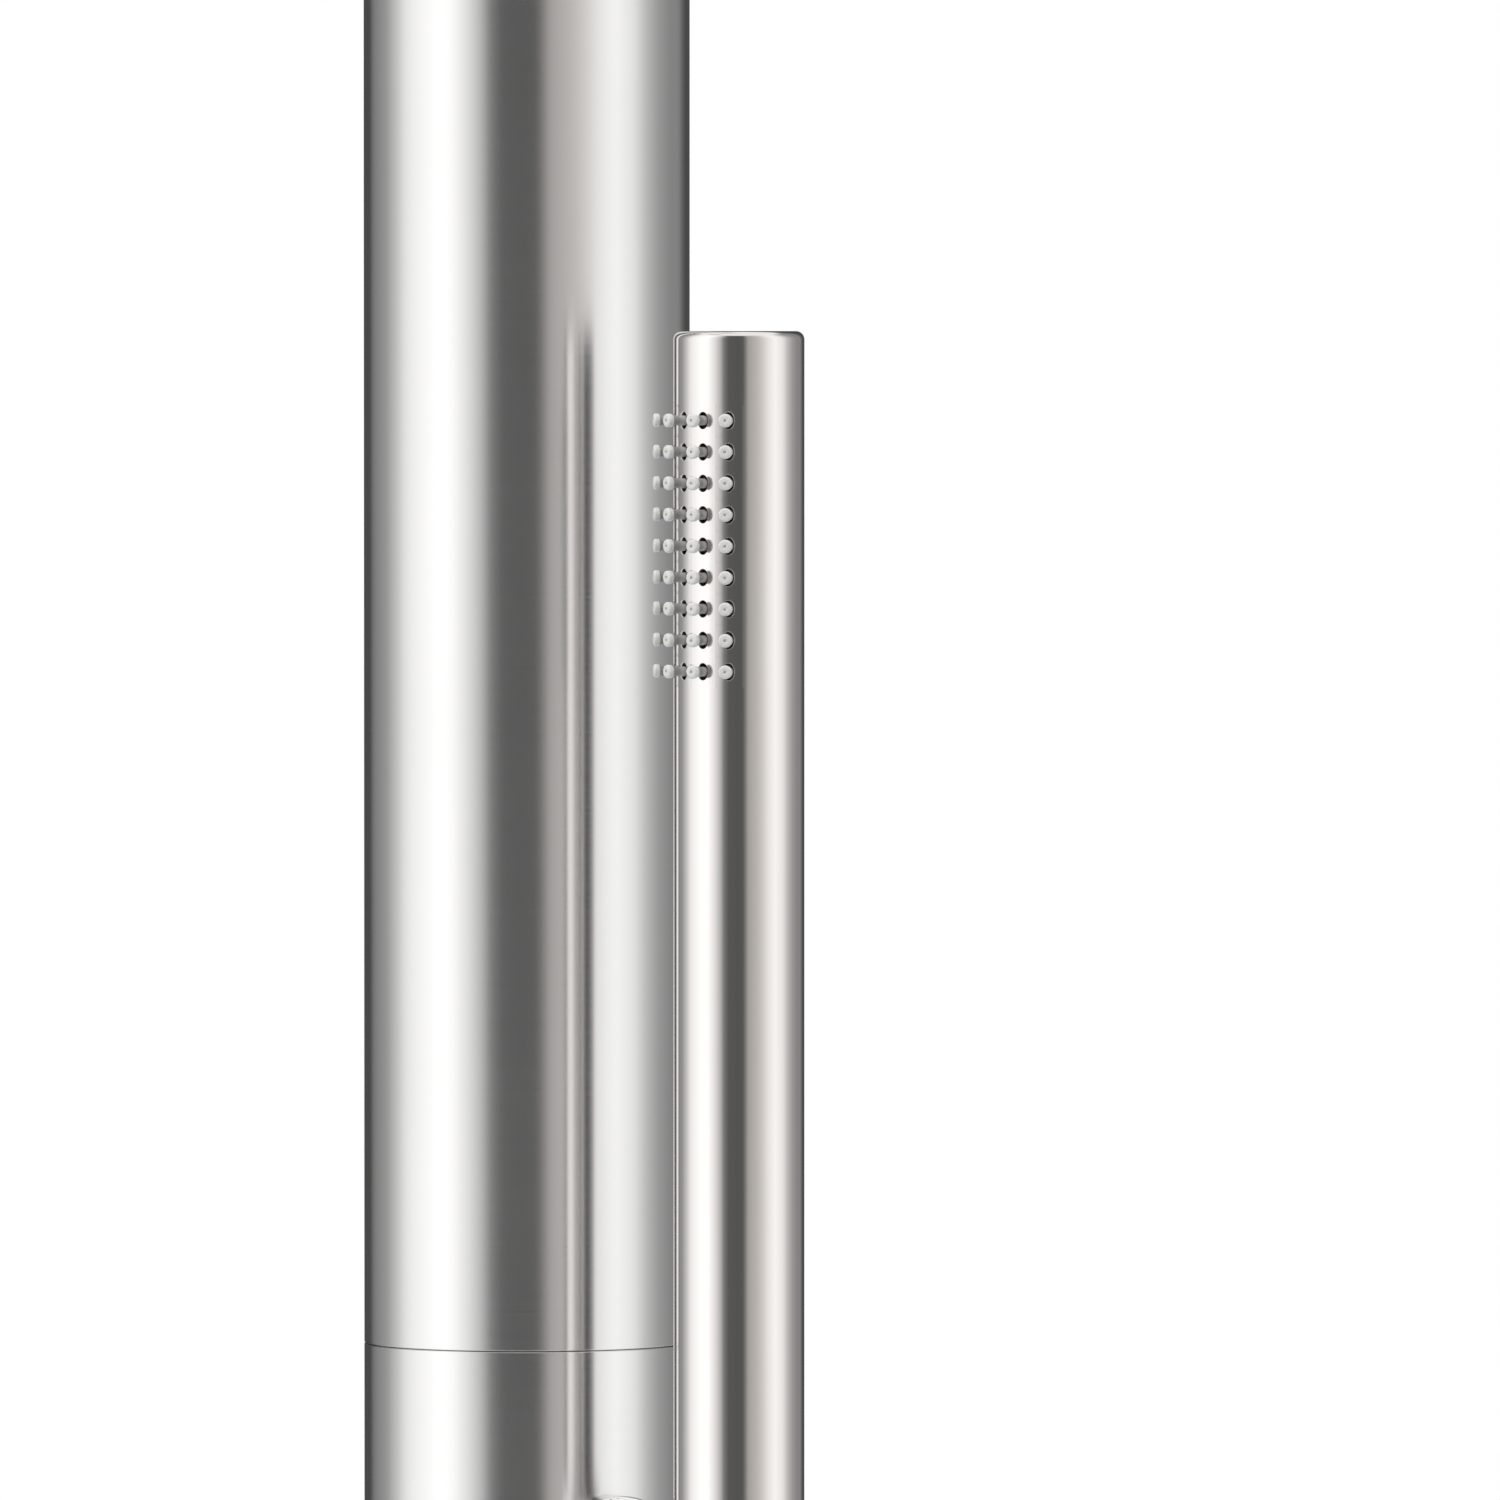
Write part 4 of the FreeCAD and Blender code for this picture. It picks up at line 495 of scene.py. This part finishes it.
def hose_outlet():
    low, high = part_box("outlet_elbow")
    axis_z = high.z / MM - OUTLET_R
    end_x = high.x / MM
    nipple_x = end_x - OUTLET_R
    barrel = rounded([
        (POLE, nipple_x, 0),
        (WATER_BORE_R, nipple_x, 0),
        (WATER_BORE_R, low.x / MM, 0.2),
        (SHANK_R, low.x / MM, 0.3),
        (SHANK_R, BARREL_START, 0),
        (OUTLET_R, BARREL_START, 0.1),
        (OUTLET_R, end_x, OUTLET_ROUND),
        (POLE, end_x, 0),
    ], steps=9)
    shoulder = axis_z - SHOULDER_BELOW
    top = axis_z - NIPPLE_BELOW
    above = [(SHOULDER_R, shoulder, 0.4), (SHOULDER_R, top, 0), (WATER_BORE_R, top, 0)]
    nipple = threaded_nipple(low.z / MM, shoulder, top, above, axis_at(nipple_x, 0, 0))
    patches = [turned(barrel, axis_at(0, 0, axis_z), axis=(1, 0, 0)), *nipple]
    return make_piece("hose_outlet", patches, "post", ["outlet_elbow"])


outlet = hose_outlet()

# %% [markdown]
# ## Shader arithmetic
#
# Node trees are easier to read as sums. A small class wraps a socket, and adding or multiplying two
# of them adds the Math node that does it. The graph's own method adds any other node.


# %% Arithmetic on sockets
class Value:
    """One output socket, with the operators that this file uses."""

    def __init__(self, graph, socket):
        self.graph = graph
        self.socket = socket

    def __add__(self, other):
        return self.graph.math("ADD", self, other)

    def __sub__(self, other):
        return self.graph.math("SUBTRACT", self, other)

    def __mul__(self, other):
        return self.graph.math("MULTIPLY", self, other)

    __radd__ = __add__


class Graph:
    """A material's or the world's node tree."""

    def __init__(self, owner):
        owner.use_nodes = True
        self.tree = owner.node_tree
        self.tree.nodes.clear()

    def node(self, kind, settings=None, inputs=None, output=0):
        """Adds a node and gives back one of its outputs. An input is a value of this graph or a constant."""
        made = self.tree.nodes.new(kind)
        for key, value in (settings or {}).items():
            if key == "stops":
                self.set_stops(made.color_ramp, value)
            else:
                setattr(made, key, value)
        for key, value in (inputs or {}).items():
            if isinstance(value, Value):
                self.tree.links.new(value.socket, made.inputs[key])
            else:
                made.inputs[key].default_value = value
        return Value(self, made.outputs[output]) if len(made.outputs) else made

    def math(self, operation, *terms):
        return self.node("ShaderNodeMath", {"operation": operation}, dict(enumerate(terms)))

    def smooth(self, value, start, stop):
        """0 up to start and 1 from stop on, with an S-shaped rise between them."""
        settings = {"interpolation_type": "SMOOTHSTEP"}
        inputs = {"Value": value, "From Min": start, "From Max": stop}
        return self.node("ShaderNodeMapRange", settings, inputs)

    def parts(self, vector):
        """A vector's X, Y and Z as three values."""
        return [self.node("ShaderNodeSeparateXYZ", None, {0: vector}, axis) for axis in range(3)]

    def set_stops(self, ramp, stops):
        """Gives a colour ramp its stops, each a place and a colour."""
        while len(ramp.elements) < len(stops):
            ramp.elements.new(0.5)
        for element, (place, colour) in zip(ramp.elements, stops):
            element.position = place
            element.color = (*colour, 1.0)

    def end(self, kind, shader):
        self.node(kind, None, {0: shader})


def grey(level):
    return (level, level, level, 1.0)


# %% [markdown]
# ## The finishes
#
# Polished stainless still has a very fine grain, left by the belt or the lathe. Along the grain
# reflections stay sharp, and across it they are blurred. The grain on the tubes runs round them, so
# upright edges of the studio's lights stay crisp while everything is smeared up and down.


# %% Steel
RINGS = 1500.0  # noise cells in a metre
ROUND_Z = (3.0, 3.0, 1600.0)
PALE_STEEL = (0.82, 0.815, 0.81)
WARM_STEEL = (0.838, 0.812, 0.79)
TRIM_ROUGHNESS = 0.14


def object_point(graph, scale):
    place = graph.node("ShaderNodeTexCoord", None, None, "Object")
    return graph.node("ShaderNodeMapping", None, {"Vector": place, "Scale": scale})


def noise(graph, vector, scale, detail=2.0):
    return graph.node("ShaderNodeTexNoise", None, {"Vector": vector, "Scale": scale, "Detail": detail}, 0)


def mix_colour(graph, share, first, second):
    return graph.node("ShaderNodeMix", {"data_type": "RGBA"}, {0: share, 6: first, 7: second}, 2)


def metal(graph, colour, roughness, grain, anisotropy, grain_bump, cloud=0.03):
    """The metal itself, for a pattern of fine grain: it roughens and lifts the surface a very little."""
    clouds = noise(graph, object_point(graph, (1, 1, 1)), 28.0, 3.0)
    rough = roughness + (grain - 0.5) * (roughness * 0.5) + (clouds - 0.5) * cloud
    tint = mix_colour(graph, clouds, (*[c * 0.97 for c in colour], 1.0), (*colour, 1.0))
    bump = graph.node("ShaderNodeBump", None, {"Strength": grain_bump, "Distance": 0.0002, "Height": grain})
    shader = graph.node("ShaderNodeBsdfPrincipled", None, {
        "Base Color": tint,
        "Metallic": 1.0,
        "Roughness": rough,
        "Anisotropic": anisotropy,
        "Anisotropic Rotation": 0.25,
        "Normal": bump,
    })
    graph.end("ShaderNodeOutputMaterial", shader)


def steel(name, colour, roughness, grain, anisotropy=0.0, grain_bump=0.02):
    """Metal with a straight grain. grain is the scale of the stripes along X, Y and Z: the axis with the
    large number is the one that the grain crosses."""
    material = bpy.data.materials.new(name)
    graph = Graph(material)
    stripes = noise(graph, object_point(graph, grain), 1.0, 3.0)
    metal(graph, colour, roughness, stripes, anisotropy, grain_bump)
    return material


def lathe_steel(name, axis, centre, anisotropy=0.0):
    """Metal with the fine rings that a lathe leaves. The grain is noise over the distance from the
    piece's own axis and the way along that axis, and it doesn't change round it."""
    material = bpy.data.materials.new(name)
    graph = Graph(material)
    place = graph.node("ShaderNodeTexCoord", None, None, "Object")
    offsets = [part - middle for part, middle in zip(graph.parts(place), centre)]
    along = offsets.pop(axis)
    radius = graph.math("SQRT", offsets[0] * offsets[0] + offsets[1] * offsets[1])
    rings = graph.node("ShaderNodeCombineXYZ", None, {0: radius * RINGS, 1: along * RINGS})
    metal(graph, PALE_STEEL, TRIM_ROUGHNESS, noise(graph, rings, 1.0, 3.0), anisotropy, 0.025)
    return material


post_finish = steel("polished_post_steel", PALE_STEEL, 0.195, ROUND_Z, anisotropy=0.8)
shower_finish = steel("polished_shower_steel", WARM_STEEL, 0.08, ROUND_Z, anisotropy=0.7)
trim_finish = steel("polished_trim_steel", PALE_STEEL, TRIM_ROUGHNESS, ROUND_Z)
machined = steel("machined_steel", (0.55, 0.55, 0.56), 0.35, ROUND_Z, grain_bump=0.1)
screw_finish = steel("screw_steel", (0.5, 0.5, 0.5), 0.3, ROUND_Z, grain_bump=0.05)
brass_finish = steel("machined_brass", (0.78, 0.58, 0.28), 0.3, ROUND_Z, grain_bump=0.08)


# %% [markdown]
# Silicone, rubber, plastic and ceramic don't share steel's recipe, but they share one with each
# other: a base colour with faint clouds, a fine skin texture, and a roughness that varies a little.


# %% Soft and moulded finishes
def moulded(name, colour, roughness, skin_scale, skin_bump, specular=0.5, subsurface=0.0):
    material = bpy.data.materials.new(name)
    graph = Graph(material)
    skin = noise(graph, object_point(graph, (1, 1, 1)), skin_scale, 4.0)
    clouds = noise(graph, object_point(graph, (1, 1, 1)), 90.0, 2.0)
    tint = mix_colour(graph, clouds, (*[c * 0.92 for c in colour], 1.0), (*colour, 1.0))
    bump = graph.node("ShaderNodeBump", None, {"Strength": skin_bump, "Distance": 0.0002, "Height": skin})
    shader = graph.node("ShaderNodeBsdfPrincipled", None, {
        "Base Color": tint,
        "Roughness": roughness + (skin - 0.5) * 0.15,
        "Specular IOR Level": specular,
        "Subsurface Weight": subsurface,
        "Subsurface Radius": (0.001, 0.001, 0.001),
        "Normal": bump,
    })
    graph.end("ShaderNodeOutputMaterial", shader)
    return material


silicone = moulded("grey_silicone", (0.30, 0.30, 0.29), 0.4, 900.0, 0.06)
rubber = moulded("black_rubber", (0.028, 0.028, 0.028), 0.6, 1500.0, 0.25)
ceramic_finish = moulded("ground_ceramic", (0.86, 0.85, 0.82), 0.2, 2500.0, 0.05)
grey_plastic = moulded("grey_plastic", (0.22, 0.22, 0.22), 0.45, 1200.0, 0.15)
white_plastic = moulded("white_plastic", (0.8, 0.8, 0.78), 0.4, 1200.0, 0.1)

# %% [markdown]
# hand shower's nozzles are one moulding, and their colours here are painted light and shade. The beads
# stand free in the light and are painted pale as painted light. The necks are painted greyer as painted
# shade, with a lighter painted ring at the hole's mouth, and down in the holes a deep grey is painted shade.
# The distance from the hand shower's own axis tells them apart.


# %% Silicone with painted light on its beads and painted shade on its necks and in its holes
# painted light and shade by the distance out from the shell: dark painted shade in the hole, painted light
# at the root, painted shade on the neck, painted light on the bead
HOLE_PAINTED_SHADE = (0.10, 0.10, 0.097, 1.0)
ROOT_PAINTED_LIGHT = (0.50, 0.49, 0.48, 1.0)
NECK_PAINTED_SHADE = (0.30, 0.30, 0.295, 1.0)
BEAD_PAINTED_LIGHT = (0.77, 0.77, 0.755, 1.0)


def silicone_with_painted_shading():
    material = bpy.data.materials.new("silicone_painted_light_and_shade")
    graph = Graph(material)
    x, y, z = graph.parts(graph.node("ShaderNodeTexCoord", None, None, "Object"))
    across = x - SHOWER_X * MM
    out = graph.math("SQRT", across * across + y * y) - SHOWER_R * MM
    bead = NOZZLE_OUT - BEAD_LENGTH
    # each mix paints light or shade into the colour by the distance out from the shell's surface
    colour = mix_colour(graph, graph.smooth(out, -0.8 * MM, 0.1 * MM), HOLE_PAINTED_SHADE, ROOT_PAINTED_LIGHT)
    colour = mix_colour(graph, graph.smooth(out, 0.6 * MM, 1.8 * MM), colour, NECK_PAINTED_SHADE)
    colour = mix_colour(graph, graph.smooth(out, (bead - 0.25) * MM, (bead + 0.05) * MM), colour, BEAD_PAINTED_LIGHT)
    skin = noise(graph, object_point(graph, (1, 1, 1)), 1200.0, 3.0)
    bump = graph.node("ShaderNodeBump", None, {"Strength": 0.05, "Distance": 0.0001, "Height": skin})
    shader = graph.node("ShaderNodeBsdfPrincipled", None, {
        "Base Color": colour,
        "Roughness": 0.3 + (skin - 0.5) * 0.1,
        "Normal": bump,
    })
    graph.end("ShaderNodeOutputMaterial", shader)
    return material


painted_shading_silicone = silicone_with_painted_shading()

# %% [markdown]
# Each piece of the frame takes the finish of its kind, by the material that the record gives it. Then
# the turned trim gets rings of its own: one finish for each axis that pieces are turned about.

# %% Give every piece its finish
UPRIGHT_GRAIN = 0.5  # anisotropy of the pieces that are turned about an upright axis
BY_SLOT = {
    "post_steel": post_finish,
    "handset_steel": shower_finish,
    "trim_steel": trim_finish,
    "plain_steel": machined,
    "screw_steel": screw_finish,
    "brass": brass_finish,
    "black_rubber": rubber,
    "grey_silicone": silicone,
    "ceramic": ceramic_finish,
    "grey_plastic": grey_plastic,
    "white_plastic": white_plastic,
}


def finish(piece, material):
    piece.data.materials.clear()
    piece.data.materials.append(material)


TURNED_ABOUT = {
    # a name for the axis: its direction, a piece that is centred on it, and the pieces turned about it
    "post": (2, "base_cover", ["base_cover", "top_cap"]),
    "mixer": (1, "cartridge_housing", ["cartridge_housing", "dome_shroud", "mixer_handle"]),
    "lever": (2, "lever_rod", ["lever_rod"]),
    "diverter": (1, "diverter_collar", ["diverter_collar", "diverter_knob"]),
    "outlet": (0, "diverter_collar", ["outlet_elbow"]),
    "holder": (0, "holder_arm", ["holder_arm"]),
    "shower": (2, "handset_shell", ["handset_foot", "holder_cup"]),
    "overhead": (1, "arm_rosette", ["arm_rosette"]),
    "head": (2, "ball_nut", ["ball_nut", "ball_stud", "head_shell"]),
}
NEW_SURFACE = {"handset_foot": foot, "outlet_elbow": outlet}

for node, piece in frame["nodes"].items():
    finish(piece, BY_SLOT[slots[node]])
for name, (axis, centred, turned_pieces) in TURNED_ABOUT.items():
    low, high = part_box(centred)
    anisotropy = UPRIGHT_GRAIN if axis == 2 else 0.0
    rings = lathe_steel("rings_about_" + name, axis, (low + high) / 2, anisotropy)
    for node in turned_pieces:
        finish(frame["nodes"][node], rings)
        if node in NEW_SURFACE:
            finish(NEW_SURFACE[node], rings)
finish(lower_tube, post_finish)
finish(upper_tube, post_finish)
finish(shell, shower_finish)
finish(nozzles, painted_shading_silicone)

# %% [markdown]
# ## The studio
#
# What one sees on polished metal is the room. This studio stands inside a round tent of cloth. Two
# tall, soft lights shine through it, one at each side, with a dark gap between them behind the
# camera and dark corners at the far sides. An upright tube shows each of them as a soft vertical
# band. The tent's glow depends on the compass direction alone, so the bands run the whole height of
# the post. The camera looks through the cloth, at a world that is plain white.

# %% The tent
CAMERA_SIDE = 58.85  # compass angle of the camera round the post, from the front towards the right
TENT = [
    # degrees to the right of the camera, and how bright the cloth is there
    (-180, 0.07), (-146, 0.07), (-138, 0.22), (-117, 0.37), (-103, 0.68), (-96, 0.92), (-88, 1.06),
    (-78, 1.16), (-63, 1.30), (-53, 1.21), (-40, 0.86), (-31, 0.54), (-25, 0.23), (-17, 0.115),
    (0, 0.105), (8, 0.115), (13, 0.26), (17, 0.42), (34, 0.59), (43, 0.74), (52, 0.94), (66, 1.13),
    (82, 0.95), (94, 0.60), (107, 0.39), (123, 0.28), (136, 0.27), (146, 0.12), (154, 0.07), (180, 0.07),
]
WARM = (1.03, 1.0, 0.967)
WARM_FROM, WARM_TO = 5, 50  # degrees between which the cloth is warm
TENT_R = 2.6
TENT_HEIGHT = 5.4
HEM = 1.4  # the height over which the cloth thins out to the open sky at its top


def tinted(level, degrees):
    """One length of the cloth, a little to the right of the camera, is a trace warmer than the rest."""
    tint = WARM if WARM_FROM < degrees < WARM_TO else (1.0, 1.0, 1.0)
    return tuple(level * share for share in tint)


def tent_cloth():
    """Glowing cloth: its brightness follows the angle round the upright axis."""
    material = bpy.data.materials.new("tent_cloth")
    graph = Graph(material)
    x, y, z = graph.parts(graph.node("ShaderNodeTexCoord", None, None, "Object"))
    side = math.radians(CAMERA_SIDE)
    towards = x * math.sin(side) - y * math.cos(side)
    right = x * math.cos(side) + y * math.sin(side)
    share = graph.math("ARCTAN2", right, towards) * (1 / TAU) + 0.5
    brightest = max(level for degrees, level in TENT)
    stops = [((degrees + 180) / 360, tinted(level / brightest, degrees)) for degrees, level in TENT]
    glow = graph.node("ShaderNodeValToRGB", {"stops": stops}, {0: share})
    cloth = graph.node("ShaderNodeEmission", None, {"Color": glow, "Strength": brightest})
    sky = graph.node("ShaderNodeBsdfTransparent")
    thin = graph.smooth(z, TENT_HEIGHT - HEM, TENT_HEIGHT)
    thinning = graph.node("ShaderNodeMixShader", None, {0: thin, 1: cloth, 2: sky})
    graph.end("ShaderNodeOutputMaterial", thinning)
    material.cycles.emission_sampling = "NONE"
    return material


def stage_object(name, points, faces, material):
    mesh = bpy.data.meshes.new(name)
    mesh.from_pydata(points.tolist(), [], faces.tolist())
    made = bpy.data.objects.new(name, mesh)
    bpy.context.scene.collection.objects.link(made)
    finish(made, material)
    return made


tent_profile = np.array([(TENT_R, 0.0), (TENT_R, TENT_HEIGHT - HEM), (TENT_R, TENT_HEIGHT)]) / MM
tent = stage_object("tent", *turned(tent_profile, (0, 0, 0)), tent_cloth())
tent.visible_camera = False
print("tent:", 2 * TENT_R, "m across and", TENT_HEIGHT, "m high")

# %% [markdown]
# The world is the white that the camera sees behind the object. Metal and clear pieces see the same
# white wherever the tent leaves it open. Other light from it is a little less than white, as from a
# bright grey sky.

# %% The world
SKY = 0.85


def seen_mask(graph):
    """1 for what the camera sees, straight or by way of metal or clear pieces, and 0 for plain light."""
    kinds = ("Is Camera Ray", "Is Glossy Ray", "Is Transmission Ray")
    camera_ray, glossy_ray, clear_ray = (
        graph.node("ShaderNodeLightPath", None, None, kind) for kind in kinds
    )
    return graph.math("MINIMUM", camera_ray + glossy_ray + clear_ray, 1.0)


def set_up_world():
    world = bpy.data.worlds.new("studio")
    bpy.context.scene.world = world
    graph = Graph(world)
    sky = graph.node("ShaderNodeBackground", None, {"Color": grey(1.0), "Strength": SKY})
    white = graph.node("ShaderNodeBackground", None, {"Color": grey(1.0), "Strength": 1.0})
    shown = graph.node("ShaderNodeMixShader", None, {0: seen_mask(graph), 1: sky, 2: white})
    graph.end("ShaderNodeOutputWorld", shown)


set_up_world()

# %% [markdown]
# One broad lamp from above gives the floor a soft shadow under the base and the head. It is weak,
# because the room already lights everything evenly.


# %% Lamp and floor
def area_lamp(name, place, target, size, power):
    data = bpy.data.lights.new(name, "AREA")
    data.shape = "RECTANGLE"
    data.size, data.size_y = size
    data.energy = power
    lamp = bpy.data.objects.new(name, data)
    bpy.context.scene.collection.objects.link(lamp)
    look_at(lamp, place, target)
    return lamp


def look_at(thing, place, target):
    """Places a lamp or camera and turns its -Z axis to the target, with its +Y axis upwards."""
    across, up, back = view_axes(place, target)
    matrix = np.eye(4)
    matrix[:3, :3] = np.stack([across, up, back], 1)
    matrix[:3, 3] = place
    thing.matrix_world = Matrix(matrix.tolist())


def view_axes(place, target):
    back = np.array(place, float) - np.array(target, float)
    back = back / np.linalg.norm(back)
    across = np.cross([0.0, 0.0, 1.0], back)
    across = across / np.linalg.norm(across)
    return across, np.cross(back, across), back


top_light = area_lamp("top_light", (0.6, -1.2, 4.2), (0, 0, 1.0), (2.4, 2.4), 60.0)
top_light.visible_glossy = False

FLOOR_R = 45.0
FADE_START, FADE_END = 0.35, 1.5  # distances from the post over which the floor pales to white paper


def floor_disc(rings=24, segments=96):
    """Flat disc: radius grows as the square of the ring's number, so the rings are close at the post."""
    radius = FLOOR_R * np.linspace(0.001, 1, rings)[:, None] ** 2
    angle = even_turn(segments)
    points = np.stack(np.broadcast_arrays(radius * np.cos(angle), radius * np.sin(angle), 0.0), -1)
    return points.reshape(-1, 3), grid_faces(rings, segments, wrap=True)


def floor_paint():
    """Pale floor. To the eye it turns into shadowless white with the distance from the post."""
    material = bpy.data.materials.new("pale_floor")
    graph = Graph(material)
    place = object_point(graph, (1, 1, 0))
    speckle = noise(graph, place, 6.0, 4.0)
    colour = mix_colour(graph, speckle, grey(0.80), grey(0.83))
    ground = graph.node("ShaderNodeBsdfPrincipled", None, {"Base Color": colour, "Roughness": 0.7})
    paper = graph.node("ShaderNodeEmission", None, {"Color": grey(1.0), "Strength": 1.0})
    away = graph.node("ShaderNodeVectorMath", {"operation": "LENGTH"}, {0: place}, "Value")
    faded = graph.smooth(away, FADE_START, FADE_END)
    shown = graph.node("ShaderNodeMixShader", None, {0: faded * seen_mask(graph), 1: ground, 2: paper})
    graph.end("ShaderNodeOutputMaterial", shown)
    return material


stage_object("floor", *floor_disc(), floor_paint())

# %% [markdown]
# ## The camera
#
# The picture is a close crop of a small part of the post, taken from a few metres away with a long
# lens. The camera stands to the right of the front, level with the hand shower's top, and looks
# very slightly down: the joint's hairline, below the lens, curves a little.

# %% Camera
CAMERA_DISTANCE = 3.2
CAMERA_HEIGHT = 1.4471
LOOK_DOWN = math.radians(1.46)
BESIDE_POST = 0.0435
PICTURE_HEIGHT = 0.2924  # what the picture spans at the post
SENSOR = 36.0

side = math.radians(CAMERA_SIDE)
towards = np.array([math.sin(side), -math.cos(side), 0.0])
right = np.array([math.cos(side), math.sin(side), 0.0])
camera_place = towards * CAMERA_DISTANCE + right * BESIDE_POST + np.array([0, 0, CAMERA_HEIGHT])
fall = CAMERA_DISTANCE * math.tan(LOOK_DOWN)
camera_target = camera_place - towards * CAMERA_DISTANCE - np.array([0, 0, fall])
camera_data = bpy.data.cameras.new("camera")
camera_data.sensor_width = SENSOR
camera_data.lens = SENSOR * CAMERA_DISTANCE / PICTURE_HEIGHT
camera_data.clip_start = 0.05
camera_data.clip_end = 200.0
camera = bpy.data.objects.new("camera", camera_data)
bpy.context.scene.collection.objects.link(camera)
look_at(camera, camera_place, camera_target)
bpy.context.scene.camera = camera
bpy.context.scene.view_settings.view_transform = "Standard"
print("lens:", round(camera_data.lens, 1), "mm")
